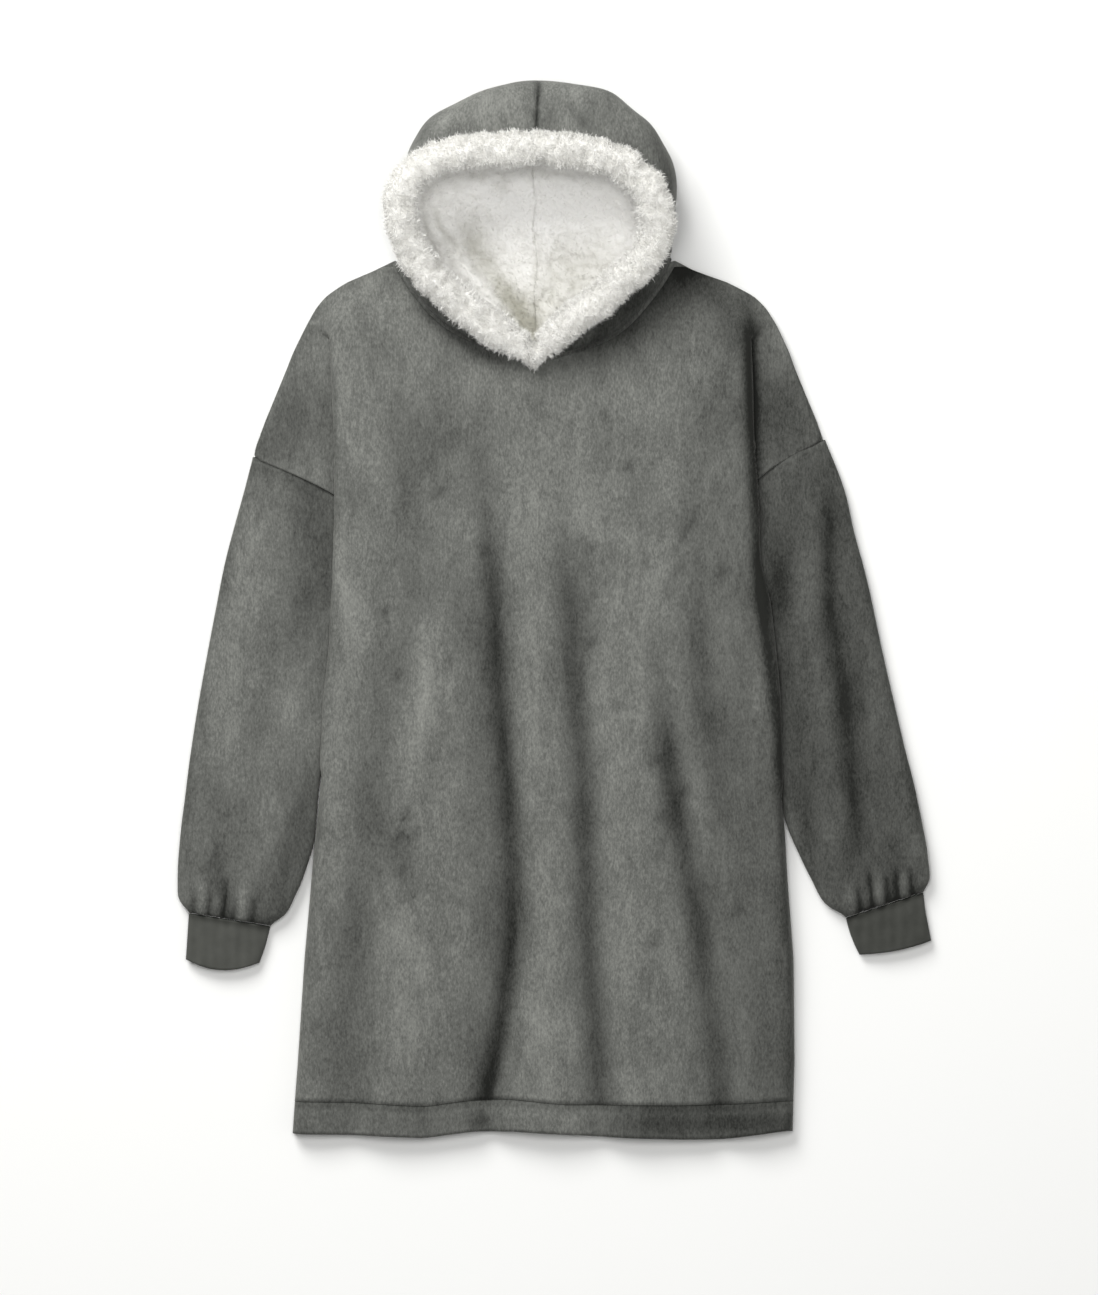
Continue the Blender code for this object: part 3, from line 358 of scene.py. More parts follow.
LEFT_EDGE = table(
    EDGE_COLUMNS,
    (-0.524, 0.2385, 0.2385, 0.2385),
    (-0.449, 0.2405, 0.2405, 0.2405),
    (-0.348, 0.2395, 0.2395, 0.2395),
    (-0.269, 0.2335, 0.2335, 0.2335),
    (-0.234, 0.2315, 0.2315, 0.2315),
    (-0.209, 0.2300, 0.2305, 0.2300),
    (-0.173, 0.2255, 0.2285, 0.2255),
    (-0.089, 0.2115, 0.2265, 0.2115),
    (-0.033, 0.1985, 0.2210, 0.1985),
    (0.011, 0.1880, 0.2160, 0.1880),
    (0.052, 0.1780, 0.2060, 0.1780),
    (0.0715, 0.1800, 0.2055, 0.1780),
    (0.0915, 0.1840, 0.2055, 0.1780),
    (0.1115, 0.1910, 0.2045, 0.1785),
    (0.1315, 0.2055, 0.2035, 0.1795),
    (0.1435, 0.2195, 0.2025, 0.1805),
    (0.1595, 0.2465, 0.2015, 0.1815),
    (0.1705, 0.2705, 0.2010, 0.1825),
    (0.1900, 0.2630, 0.2000, 0.1835),
    (0.2285, 0.2470, 0.1985, 0.1865),
    (0.2600, 0.2345, 0.1975, 0.1900),
    (0.2875, 0.2205, 0.1965, 0.1965),
    (0.3035, 0.2090, 0.1960, 0.2000),
    (0.3155, 0.1960, 0.1850, 0.1930),
    (0.3275, 0.1720, 0.1640, 0.1700),
    (0.3395, 0.1440, 0.1380, 0.1420),
    (0.3515, 0.1210, 0.1200, 0.1205),
)
HEIGHTS = table(
    "y top low end",
    (-0.524, 0.0150, 0.0085, 0.0062),
    (-0.449, 0.0175, 0.0090, 0.0062),
    (-0.348, 0.0195, 0.0090, 0.0062),
    (-0.234, 0.0230, 0.0095, 0.0062),
    (-0.173, 0.0270, 0.0110, 0.0062),
    (0.011, 0.0280, 0.0120, 0.0062),
    (0.052, 0.0280, 0.0135, 0.0100),
    (0.0915, 0.0275, 0.0140, 0.0130),
    (0.1245, 0.0270, 0.0140, 0.0140),
    (0.1415, 0.0265, 0.0140, 0.0125),
    (0.1535, 0.0260, 0.0140, 0.0090),
    (0.2285, 0.0250, 0.0130, 0.0082),
    (0.2600, 0.0240, 0.0115, 0.0082),
    (0.2875, 0.0215, 0.0110, 0.0082),
    (0.3035, 0.0175, 0.0125, 0.0082),
    (0.3155, 0.0132, 0.0125, 0.0082),
    (0.3275, 0.0103, 0.0110, 0.0082),
    (0.3395, 0.0086, 0.0095, 0.0082),
    (0.3515, 0.0083, 0.0082, 0.0082),
)
SHOULDER_ROUNDING = table("y more", (0.28, 0.0), (0.3155, 0.014))
MIDDLE_DROP = table(
    "y drop",
    (-0.524, -0.001), (-0.3, 0.0), (-0.1, 0.005), (0.12, 0.005), (0.25, 0.0),
)
FOLD_COLUMNS = "y f5x f5 r1x r1 f1x f1 r2x r2 f2x f2 r3x r3 f3x f3 f4x f4"
FOLDS = table(
    FOLD_COLUMNS,
    (-0.524, -0.205, -4, -0.165, 3, -0.067, -7, -0.010, 4, 0.045, -5, 0.085, 3, 0.166, -5, 0.205, 2),
    (-0.449, -0.202, -4, -0.160, 3, -0.052, -9, -0.010, 4, 0.041, -5, 0.078, 3, 0.158, -6, 0.200, 2),
    (-0.319, -0.193, -4, -0.145, 3, -0.040, -9, -0.010, 3, 0.035, -4, 0.065, 3, 0.145, -6, 0.188, 1),
    (-0.189, -0.179, -3, -0.143, 3, -0.044, -8, -0.013, 3, 0.028, -4, 0.056, 3, 0.124, -4, 0.172, -1),
    (-0.079, -0.161, -3, -0.130, 3, -0.052, -7, -0.020, 3, 0.023, -4, 0.060, 2, 0.112, -1, 0.155, -3),
    (0.012, -0.146, -3, -0.118, 3, -0.058, -5, -0.022, 3, 0.014, -3, 0.064, 2, 0.112, 0, 0.145, -2.5),
    (0.092, -0.144, -3, -0.115, 2, -0.066, -3, -0.024, 2, 0.006, -1, 0.060, 1, 0.105, 0, 0.138, -2),
    (0.190, -0.150, -2, -0.118, 1, -0.071, 0, -0.023, 1, 0.010, 0, 0.055, 0, 0.100, 0, 0.135, 0),
    (0.245, -0.160, 0, -0.128, 0, -0.080, 0, -0.0235, 0, 0.020, 0, 0.060, 0, 0.100, 0, 0.140, 0),
)
FOLD_WIDTHS = {"f5": 0.020, "r1": 0.026, "f1": 0.0125, "r2": 0.022, "f2": 0.013, "r3": 0.024,
               "f3": 0.013, "f4": 0.016}
HEM_LINE = table(
    "x seam edge",
    (-0.262, -0.4905, -0.5225),
    (-0.201, -0.4915, -0.5235),
    (-0.131, -0.4955, -0.5265),
    (-0.082, -0.4890, -0.5200),
    (-0.040, -0.4885, -0.5200),
    (0.010, -0.4935, -0.5230),
    (0.076, -0.4940, -0.5265),
    (0.122, -0.4945, -0.5279),
    (0.169, -0.4935, -0.5279),
    (0.238, -0.4895, -0.5185),
)
FOLD_RADIUS, FOLD_STEP, EDGE_ROUNDING, BROW_SHARE, FOLDED_FROM = 0.007, 0.0061, 0.008, 0.6, 0.003
UNDERARM_Y, LAST_FOLD_Y, SHOULDER_Y, NECK_FRONT_Y = 0.052, 0.272, 0.2875, 0.2455
Z_ON_BACK = CLOTH + SEAM_ROOM + CLOTH / 2
Z_ROUNDED_END, ROUNDED_FROM = 0.0062, 0.012
EASE = 0.007
FLANK_POINTS = 34
SHOULDER_OUT = table(
    "y right left", (0.135, 0.0, 0.0), (0.165, 0.0040, 0.0), (0.235, 0.0042, 0.0015), (0.29, 0.0050, 0.0040),
    (0.33, 0.0055, 0.0080), (0.345, 0.0, 0.0))
TOP_POINTS = 46


def rounded_corner(before, corner, after, radius):
    """Three points round a corner, no further from it than half of either leg."""
    def towards(other):
        leg = other - corner
        size = np.linalg.norm(leg)
        return corner if size < 1e-9 else corner + leg / size * min(radius, size / 2)
    start, end = towards(before), towards(after)
    return [start, 0.25 * start + 0.5 * corner + 0.25 * end, end]


def flank(edge, y, inner_x):
    """One side of a row: from the top over the turned-under fold to where the cloth ends."""
    side = math.copysign(1.0, edge["fold"][0])
    half = side * CLOTH / 2
    fold, tuck, outer = (float(read(edge, c, y, spread=EASE)) - half for c in ("fold", "tuck", "outer"))
    outer += side * float(read(SHOULDER_OUT, "left" if side > 0 else "right", y))
    top, low, end = (float(read(HEIGHTS, c, y, spread=EASE)) for c in ("top", "low", "end"))
    middle = max(top - FOLD_STEP, (top + low) / 2)
    overlap = abs(fold) - abs(tuck)
    folded = 1.0 if y > UNDERARM_Y else min(max(overlap / FOLDED_FROM, 0.0), 1.0)
    rounding = EDGE_ROUNDING + float(read(SHOULDER_ROUNDING, "more", y))
    brow_x = fold - side * min(abs(overlap) + rounding, BROW_SHARE * abs(fold - inner_x))
    brow = np.array((brow_x, top))
    path = [brow, np.array((fold, top)), np.array((fold, middle)), np.array((tuck, middle)),
            np.array((tuck, low)), np.array((outer, end))]
    points = []
    for i in range(1, 5):
        points.extend(rounded_corner(path[i - 1], path[i], path[i + 1], FOLD_RADIUS))
    points.append(0.5 * (points[-1] + path[5]))
    points.append(path[5])
    points = np.array(points)
    t = np.linspace(0, 1, len(points) + 1)[1:]
    soft = np.stack([brow_x + (outer - brow_x) * t, end + (top - end) * (1 + np.cos(np.pi * t)) / 2], axis=1)
    softness = min(max((y - LAST_FOLD_Y) / (SHOULDER_Y - LAST_FOLD_Y), 0.0), 1.0)
    points = softness * soft + (1 - softness) * points
    steep = min(max((top - Z_ON_BACK) / ROUNDED_FROM, 0.0), 1.0)
    rounding_end = np.array((outer, Z_ON_BACK + steep * (Z_ROUNDED_END - Z_ON_BACK)))
    angle = t * math.pi / 2
    rounded = brow + (rounding_end - brow) * np.stack([np.sin(angle), 1 - np.cos(angle)], axis=1)
    points = np.vstack([brow, folded * points + (1 - folded) * rounded])
    return through(points, np.linspace(0, 1, FLANK_POINTS), steps=6)


def top_height(x, y):
    """The front's middle surface over the body, with its lengthwise folds."""
    top = read(HEIGHTS, "top", y, spread=EASE)
    right, left = read(RIGHT_EDGE, "fold", y), read(LEFT_EDGE, "fold", y)
    at = np.clip(y, FOLDS["y"][0], FOLDS["y"][-1])
    lift = np.zeros(np.shape(x))
    for name, width in FOLD_WIDTHS.items():
        centre = read(FOLDS, name + "x", at, spread=0.03)
        lift = lift + read(FOLDS, name, at, spread=0.03) / 1000 * np.exp(-(((x - centre) / width) ** 2))
    share = np.clip((x - right) / (left - right), 0, 1)
    drop = read(MIDDLE_DROP, "drop", y, spread=0.03) * np.sin(np.pi * share) ** 2
    near_edge = np.clip(np.minimum(x - right, left - x) / 0.03, 0, 1)
    return np.maximum(top + (lift - drop) * near_edge**0.7, Z_ON_BACK + SEAM_ROOM)


def middle_x(y):
    """Where the two halves of a row meet: the middle ridge."""
    return float(read(FOLDS, "r2x", min(max(y, FOLDS["y"][0]), FOLDS["y"][-1]), spread=0.02))


def half_row(edge, y, inner_x):
    """Half a row of the front, from where the cloth ends to the inner x."""
    side = flank(edge, y, inner_x)
    brow_x, brow_z = side[0]
    share = np.linspace(0, 1, TOP_POINTS)
    x = brow_x + (inner_x - brow_x) * share
    z = top_height(x, y)
    z = z + (brow_z - z[0]) * np.clip(1 - share * 6, 0, 1) ** 2
    over = np.stack([x, np.full(len(x), y), z], axis=1)
    under = np.stack([side[::-1, 0], np.full(len(side), y), side[::-1, 1]], axis=1)
    return np.vstack([under[:-1], over])


HOOD_CLOTH = 0.0026
HOOD_COLUMNS = (
    "rim_x rim_y rim_z side_x side_y side_z turn_x turn_y turn_z "
    "base_x base_y base_z seam_y seam_z"
)
HOOD_MIDDLE_X, HOOD_MIDDLE_Y = -0.0195, 0.37
HOOD_RIGHT = table(
    HOOD_COLUMNS,
    (-0.0205, 0.2505, 0.0250, -0.1075, 0.2875, 0.0210,
     -0.1560, 0.3510, 0.0090, -0.1145, 0.3400, 0.0014, 0.3275, 0.0013),
    (-0.0675, 0.2865, 0.0380, -0.1265, 0.3195, 0.0300,
     -0.1590, 0.3680, 0.0160, -0.1225, 0.3610, 0.0016, 0.3495, 0.0013),
    (-0.1025, 0.3135, 0.0470, -0.1450, 0.3480, 0.0380,
     -0.1600, 0.3880, 0.0210, -0.1245, 0.3850, 0.0018, 0.3735, 0.0013),
    (-0.1315, 0.3435, 0.0570, -0.1565, 0.3730, 0.0450,
     -0.1600, 0.4060, 0.0250, -0.1265, 0.4060, 0.0020, 0.3965, 0.0013),
    (-0.1495, 0.3765, 0.0660, -0.1600, 0.3990, 0.0500,
     -0.1570, 0.4270, 0.0280, -0.1245, 0.4290, 0.0020, 0.4215, 0.0013),
    (-0.1525, 0.4065, 0.0730, -0.1520, 0.4300, 0.0550,
     -0.1430, 0.4530, 0.0300, -0.1175, 0.4530, 0.0020, 0.4495, 0.0013),
    (-0.1425, 0.4315, 0.0770, -0.1430, 0.4540, 0.0620,
     -0.1340, 0.4750, 0.0340, -0.0990, 0.4860, 0.0110, 0.4970, 0.0050),
    (-0.1145, 0.4485, 0.0800, -0.1220, 0.4770, 0.0740,
     -0.1150, 0.4960, 0.0520, -0.0740, 0.5110, 0.0300, 0.5200, 0.0220),
    (-0.0795, 0.4555, 0.0820, -0.0840, 0.4850, 0.0795,
     -0.0715, 0.5110, 0.0735, -0.0430, 0.5225, 0.0680, 0.5265, 0.0580),
    (-0.0495, 0.4575, 0.0830, -0.0430, 0.4745, 0.0815,
     -0.0350, 0.4890, 0.0815, -0.0265, 0.4985, 0.0800, 0.5030, 0.0785),
    (-0.0205, 0.4585, 0.0830, -0.0205, 0.4585, 0.0830,
     -0.0205, 0.4585, 0.0830, -0.0205, 0.4585, 0.0830, 0.4585, 0.0830),
)
HOOD_LEFT = table(
    HOOD_COLUMNS,
    (-0.0185, 0.2505, 0.0250, 0.0635, 0.2815, 0.0210,
     0.1165, 0.3515, 0.0090, 0.0755, 0.3400, 0.0014, 0.3275, 0.0013),
    (0.0105, 0.2835, 0.0380, 0.0775, 0.3195, 0.0300,
     0.1170, 0.3680, 0.0160, 0.0775, 0.3610, 0.0016, 0.3495, 0.0013),
    (0.0455, 0.3115, 0.0470, 0.0955, 0.3480, 0.0380,
     0.1170, 0.3880, 0.0230, 0.0795, 0.3850, 0.0018, 0.3735, 0.0013),
    (0.0795, 0.3395, 0.0570, 0.1075, 0.3690, 0.0460,
     0.1185, 0.4030, 0.0290, 0.0815, 0.4060, 0.0020, 0.3965, 0.0013),
    (0.1005, 0.3715, 0.0660, 0.1155, 0.3955, 0.0520,
     0.1180, 0.4210, 0.0310, 0.0815, 0.4290, 0.0020, 0.4215, 0.0013),
    (0.1015, 0.3975, 0.0730, 0.1165, 0.4215, 0.0600,
     0.1150, 0.4460, 0.0350, 0.0755, 0.4530, 0.0020, 0.4495, 0.0013),
    (0.0905, 0.4215, 0.0770, 0.1090, 0.4450, 0.0660,
     0.1040, 0.4690, 0.0400, 0.0635, 0.4860, 0.0110, 0.4970, 0.0050),
    (0.0675, 0.4425, 0.0800, 0.0885, 0.4700, 0.0760,
     0.0865, 0.4915, 0.0540, 0.0415, 0.5110, 0.0300, 0.5200, 0.0220),
    (0.0355, 0.4535, 0.0820, 0.0535, 0.4850, 0.0800,
     0.0510, 0.5130, 0.0735, 0.0150, 0.5225, 0.0680, 0.5265, 0.0580),
    (0.0055, 0.4565, 0.0830, 0.0060, 0.4745, 0.0815,
     0.0000, 0.4890, 0.0815, -0.0110, 0.4985, 0.0800, 0.5030, 0.0785),
    (-0.0185, 0.4585, 0.0830, -0.0185, 0.4585, 0.0830,
     -0.0185, 0.4585, 0.0830, -0.0185, 0.4585, 0.0830, 0.4585, 0.0830),
)


def hood_section(hood, i, count=14):
    """Points of one hood section, from its rim to the middle seam."""
    side = 1.0 if hood is HOOD_LEFT else -1.0
    seam_x = HOOD_MIDDLE_X - side * SEAM_ROOM
    points = [[hood[part + axis][i] for axis in ("_x", "_y", "_z")] for part in ("rim", "side", "turn", "base")]
    points.append([seam_x, hood["seam_y"][i], hood["seam_z"][i]])
    section = through(points, np.linspace(0, 1, count), level_end=True)
    section[:, 2] = np.maximum(section[:, 2], HOOD_CLOTH / 2)
    return section


def neckline(hood):
    """The front's neck edge: the hood's neck seam moved out by half a wall and the gap."""
    seam = hood_section(hood, 0)[:8]
    away = np.linspace(0.0033, 0.0060, len(seam))[:, None]
    direction = seam[:, :2] - (HOOD_MIDDLE_X, HOOD_MIDDLE_Y)
    direction /= np.linalg.norm(direction, axis=1)[:, None]
    return through(seam[:, :2] + away * direction, np.linspace(0, 1, 30))


def front_grid(edge, hood, lowest=None):
    """All half rows of one side, from the hem seam to the top of the shoulder."""
    neck = neckline(hood)
    start = HEM_LINE["seam"].mean()
    rising = np.maximum.accumulate(neck[:, 1])
    below = eased_steps([start, -0.45, UNDERARM_Y, 0.13, NECK_FRONT_Y], 0.0052)
    beside = eased_steps([NECK_FRONT_Y, 0.248, 0.2515, 0.2600, 0.3450], 0.0030)[1:]
    rows = []
    for y in below:
        row = half_row(edge, y, middle_x(y))
        bend = np.clip(1 - (y - start) / 0.06, 0, 1)
        seam_shift = read(HEM_LINE, "seam", row[:, 0], "x", spread=0.01) + SEAM_ROOM - start
        row[:, 1] += seam_shift * bend
        rows.append(row)
    for y in beside:
        rows.append(half_row(edge, y, float(np.interp(y, rising, neck[:, 0]))))
    return np.array(rows)


def settle(points, marks, size, seed, depth):
    """Presses creases into a cloth and lets it undulate; the caller keeps this to the side that faces up."""
    lift = strokes(points, marks) / 1000 + ripples(points, size, seed, 2.0) * depth
    return points + np.stack([np.zeros(len(points)), np.zeros(len(points)), lift], axis=1)


# Creases of the front: height change in mm, half width in mm, line in mm
FRONT_CREASES = [
    (-1.8, 5, [(-64, 236), (-50, 221), (-30, 205), (-9, 191), (20, 180), (60, 172)]),
    (1.2, 7, [(-55, 240), (-10, 205), (45, 186)]),
    (-1.3, 4, [(98, 64), (84, 34)]),
    (-1.3, 4, [(136, 56), (118, 34), (100, 10)]),
    (-1.2, 4, [(150, 112), (128, 74), (110, 40)]),
    (-1.1, 4, [(112, 92), (135, 80), (165, 78)]),
    (-1.0, 4, [(124, 30), (106, 2)]),
    (-1.6, 4, [(-172, -222), (-152, -206), (-138, -216)]),
    (-1.6, 4, [(-164, -258), (-146, -284)]),
    (-1.6, 4, [(103, -142), (112, -172), (120, -200)]),
    (-1.4, 4, [(116, -138), (126, -176)]),
]
# Painted shade and light on the front, with some brushing of its pile. Below nought it is darker
# # along the fold valleys and creases, the turned-under edges, the shoulders, the side away from the
# # light and under the hood. Above nought it is lighter on the ridges. Columns: strength, half width
# # in mm, line in mm
FRONT_NAP_AND_SHADING = [
    (-0.74, 12, [(-71, 150), (-60, 10), (-53, -90), (-46, -170), (-40, -250), (-42, -320), (-50, -390), (-60, -450), (-104, -600)]),
    (-0.34, 24, [(-84, 100), (-72, -90), (-60, -250), (-64, -400), (-80, -600)]),
    (-0.56, 13, [(2, 130), (18, -30), (26, -130), (31, -250), (36, -350), (43, -450), (50, -600)]),
    (-0.20, 30, [(20, 60), (31, -250), (44, -600)]),
    (-0.64, 13, [(98, -30), (126, -220), (136, -270), (146, -330), (154, -390), (161, -440), (180, -600)]),
    (-0.34, 13, [(132, 190), (141, 12), (151, -80), (161, -160), (172, -270)]),
    (-0.30, 26, [(-160, 260), (-142, 90), (-135, 10), (-165, -90), (-180, -190), (-195, -320), (-210, -600)]),
    (0.20, 20, [(-125, 20), (-138, -150), (-150, -290), (-175, -520)]),
    (0.24, 11, [(-126, 30), (-130, -60), (-140, -170)]),
    (0.20, 15, [(-213, 160), (-212, -60), (-222, -260)]),
    (0.22, 16, [(-35, 220), (-22, 10), (-8, -290), (-4, -600)]),
    (0.16, 16, [(68, 40), (58, -190), (72, -390), (80, -600)]),
    (-0.34, 14, [(-168, -196), (-150, -240), (-152, -300)]),
    (-0.20, 15, [(100, -100), (112, -170), (122, -250)]),
    (-0.30, 8, [(-225, 330), (-222, 130), (-223, 10), (-232, -90), (-240, -290)]),
    (-0.85, 8, [(193, 350), (199, 130), (203, 50), (212, -30), (224, -120), (230, -260)]),
    (-0.34, 46, [(190, 300), (190, 0), (205, -240), (235, -600)]),
    (-0.14, 60, [(140, 60), (150, -200), (190, -600)]),
    (-0.44, 14, [(226, -160), (236, -300), (244, -600)]),
    (-1.10, 26, [(200, 440), (128, 352), (104, 325), (74, 300), (44, 270), (-30, 246)]),
    (-0.62, 24, [(118, 372), (178, 300), (212, 226)]),
    (-0.80, 8, [(-170, 360), (-142, 322), (-125, 300), (-100, 277), (-74, 258), (-50, 250), (0, 243)]),
    (-0.50, 30, [(-310, 130), (-262, 190), (-228, 260)]),
    (-0.52, 42, [(300, 120), (240, 200), (200, 275)]),
    (-0.18, 44, [(-112, 230), (-104, 161), (-96, 80)]),
    (-0.34, 4, [(98, 64), (84, 34)]),
    (-0.34, 4, [(136, 56), (118, 34), (100, 10)]),
    (-0.30, 4, [(150, 112), (128, 74), (110, 40)]),
    (-0.28, 4, [(124, 30), (106, 2)]),
]
# Small crushed spots in the pile, each a plan point in mm
CRUSHED = [
    (25, 72), (33, 62), (36, -30), (101, -244), (-171, 0), (-156, -62), (-148, -204), (-142, -222),
    (-156, -224), (-154, -258), (-146, -284), (-72, 62), (-118, 118), (70, 146), (98, -150),
    (106, -204), (130, -178), (165, 40), (60, -92), (98, -330), (-110, -352), (182, -300),
]
FRONT_NAP_AND_SHADING += [(-0.34, 4.5, [(x - 5 - x % 5, y - 9), (x + 3, y), (x + y % 4, y + 10)]) for x, y in CRUSHED]

right_rows, left_rows = front_grid(RIGHT_EDGE, HOOD_RIGHT), front_grid(LEFT_EDGE, HOOD_LEFT)
front_points, front_faces, start = [], [], 0
for rows, flip in ((right_rows, False), (left_rows, True)):
    faces = grid_faces(*rows.shape[:2])
    front_points.append(rows.reshape(-1, 3))
    front_faces.append((faces[:, ::-1] if flip else faces) + start)
    start += rows.shape[0] * rows.shape[1]
front_points, front_faces = np.vstack(front_points), np.vstack(front_faces)
on_top = np.clip((front_points[:, 2] - 0.0125) / 0.004, 0, 1)
settled = settle(front_points, FRONT_CREASES, 0.06, 11, 0.0007)
edge_hush = np.clip((front_points[:, 1] + 0.49) / 0.03, 0, 1) * on_top
front_points[:, 2] += (settled[:, 2] - front_points[:, 2]) * edge_hush
# The front's tone: painted shade and light from the strokes, with a slow random undulation.
front_nap_and_shading = strokes(front_points, FRONT_NAP_AND_SHADING) + 0.10 * ripples(front_points, 0.05, 12, 2.0)
front = cloth_piece("front_plush", front_points, front_faces, CLOTH, grey_plush, front_nap_and_shading)
worn(front, "front_panel")

# The hem band. A folded strip of the same plush, 30 mm deep, sewn on with a seam that puckers
# a little, so its lower edge waves. The back has its own strip, flat on the surface.
HEM_STEPS = 9


def hem_grid(edge):
    rows = []
    start = HEM_LINE["seam"].mean()
    for share in np.linspace(1, 0, HEM_STEPS):
        row = half_row(edge, start - 0.03 * share, middle_x(start - 0.03 * share))
        seam = read(HEM_LINE, "seam", row[:, 0], "x", spread=0.01) - SEAM_ROOM
        low = read(HEM_LINE, "edge", row[:, 0], "x", spread=0.01)
        row[:, 1] = seam + share * (low - seam)
        row[:, 2] += 0.0012 * math.sin(math.pi * share) - 0.0006 * (share < 0.01)
        rows.append(row)
    return np.array(rows)


# Painted shade on the hem band: a dark line along its seam, a darker band along it that is strongest on the wearer's
# left, and one short crease. Columns: strength, half width in mm, line in mm
HEM_SHADE = [
    (-0.58, 4, [(-400, -492), (-201, -493), (-131, -497), (-82, -490), (-40, -490), (10, -495), (76, -495), (122, -496), (169, -495), (238, -491), (400, -491)]),
    (-0.26, 18, [(-400, -508), (0, -508)]),
    (-0.90, 20, [(0, -510), (120, -512), (400, -508)]),
    (-0.50, 10, [(-82, -520), (-66, -500)]),
]
hem_points, hem_faces, start = [], [], 0
for edge, flip in ((RIGHT_EDGE, False), (LEFT_EDGE, True)):
    rows = hem_grid(edge)
    faces = grid_faces(*rows.shape[:2])
    hem_points.append(rows.reshape(-1, 3))
    hem_faces.append((faces[:, ::-1] if flip else faces) + start)
    start += rows.shape[0] * rows.shape[1]
hem_points, hem_faces = np.vstack(hem_points), np.vstack(hem_faces)
hem = cloth_piece("hem_band_plush", hem_points, hem_faces, CLOTH, grey_plush, strokes(hem_points, HEM_SHADE))
worn(hem, "hem_band_front")

# The back. It lies flat on the surface under the front, cut to the same seams, and shows only
# as an edge from above. Its solid and the hem band's have the right shape and get the plush.
for node in ("back_panel", "hem_band_back"):
    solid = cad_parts[node]
    for held in solid.material_slots:
        held.material = grey_plush

# The sleeves. Wide tubes of plush, set in at the dropped armholes and lying flat beside the
# body. They are gathered into the cuffs, so short pleats run up from the cuff seam.
TUBE_COLUMNS = "outer_x outer_y inner_x inner_y bow height"
SLEEVE_RIGHT = table(
    TUBE_COLUMNS,
    (-0.3105, 0.1215, -0.1957, 0.0285, 0.018, 0.0180),
    (-0.3287, 0.0550, -0.1993, 0.0110, 0.010, 0.0183),
    (-0.3388, 0.0050, -0.2103, -0.0330, 0.005, 0.0183),
    (-0.3507, -0.0580, -0.2223, -0.0890, 0.0, 0.0183),
    (-0.3589, -0.1050, -0.2288, -0.1310, 0.0, 0.0183),
    (-0.3657, -0.1500, -0.2353, -0.1730, 0.0, 0.0187),
    (-0.3703, -0.1870, -0.2386, -0.2090, 0.0, 0.0192),
    (-0.3737, -0.2135, -0.2413, -0.2340, 0.0, 0.0197),
    (-0.3770, -0.2500, -0.2525, -0.2685, 0.0, 0.0203),
    (-0.3775, -0.2705, -0.2605, -0.2865, 0.0, 0.0203),
    (-0.3765, -0.2865, -0.2685, -0.3015, 0.0, 0.0185),
    (-0.3675, -0.2980, -0.2815, -0.3110, 0.0, 0.0160),
    (-0.3660, -0.3006, -0.2837, -0.3136, 0.0, 0.0158),
)
SLEEVE_LEFT = table(
    TUBE_COLUMNS,
    (0.2895, 0.1245, 0.1845, 0.0285, 0.018, 0.0180),
    (0.3000, 0.0800, 0.1888, 0.0110, 0.010, 0.0183),
    (0.3130, 0.0315, 0.1993, -0.0330, 0.005, 0.0183),
    (0.3285, -0.0400, 0.2123, -0.0890, 0.0, 0.0183),
    (0.3400, -0.0900, 0.2193, -0.1310, 0.0, 0.0183),
    (0.3510, -0.1370, 0.2263, -0.1730, 0.0, 0.0187),
    (0.3610, -0.1765, 0.2308, -0.2090, 0.0, 0.0192),
    (0.3715, -0.2285, 0.2475, -0.2485, 0.0, 0.0203),
    (0.3745, -0.2505, 0.2575, -0.2685, 0.0, 0.0203),
    (0.3757, -0.2665, 0.2695, -0.2905, 0.0, 0.0185),
    (0.3705, -0.2773, 0.2885, -0.3026, 0.0, 0.0160),
    (0.3690, -0.2799, 0.2910, -0.3052, 0.0, 0.0158),
)
SEAM_COLUMNS = "x y z"
ARMHOLE_RIGHT = table(
    SEAM_COLUMNS,
    (-0.3015, 0.1535, 0.0115),
    (-0.2725, 0.1415, 0.0135),
    (-0.2365, 0.1245, 0.0145),
    (-0.2135, 0.1115, 0.0145),
    (-0.1995, 0.0915, 0.0135),
    (-0.1935, 0.0715, 0.0125),
    (-0.1900, 0.0520, 0.0110),
)
ARMHOLE_LEFT = table(
    SEAM_COLUMNS,
    (0.2705, 0.1705, 0.0115),
    (0.2465, 0.1595, 0.0130),
    (0.2195, 0.1435, 0.0145),
    (0.2055, 0.1315, 0.0145),
    (0.1910, 0.1115, 0.0145),
    (0.1840, 0.0915, 0.0135),
    (0.1800, 0.0715, 0.0125),
    (0.1780, 0.0520, 0.0110),
)
SLEEVE_AROUND, SLEEVE_RINGS = 88, 96
DOME_POWER, SIDE_SHARE = 0.7, 0.42
ON_TOP_SHARE = 0.66


def tube_ring(outer, inner, bow, height, wall, around):
    """A flat-bottomed ring between two edges: domed above, lying flat below."""
    outer, inner = np.array(outer), np.array(inner)
    across = inner - outer
    size = np.linalg.norm(across)
    across = across / size
    along = np.array((-across[1], across[0]))
    along = along if along[1] > 0 else -along
    centre, half = (outer + inner) / 2, size / 2 - wall / 2
    above = round(around * ON_TOP_SHARE)
    angle = np.pi * (1 - np.arange(above) / (above - 1))
    reach = np.cos(angle)
    z = wall / 2 + (height - wall) * (SIDE_SHARE + (1 - SIDE_SHARE) * np.abs(np.sin(angle)) ** DOME_POWER)
    back = (1 - 2 * np.arange(around - above) / (around - above - 1)) * (1 - wall / half)
    reach = np.concatenate([reach, back])
    z = np.concatenate([z, np.full(around - above, wall / 2)])
    plan = centre + np.outer(half * reach, across) + np.outer(bow * (1 - reach**2), along)
    return np.column_stack([plan, z])


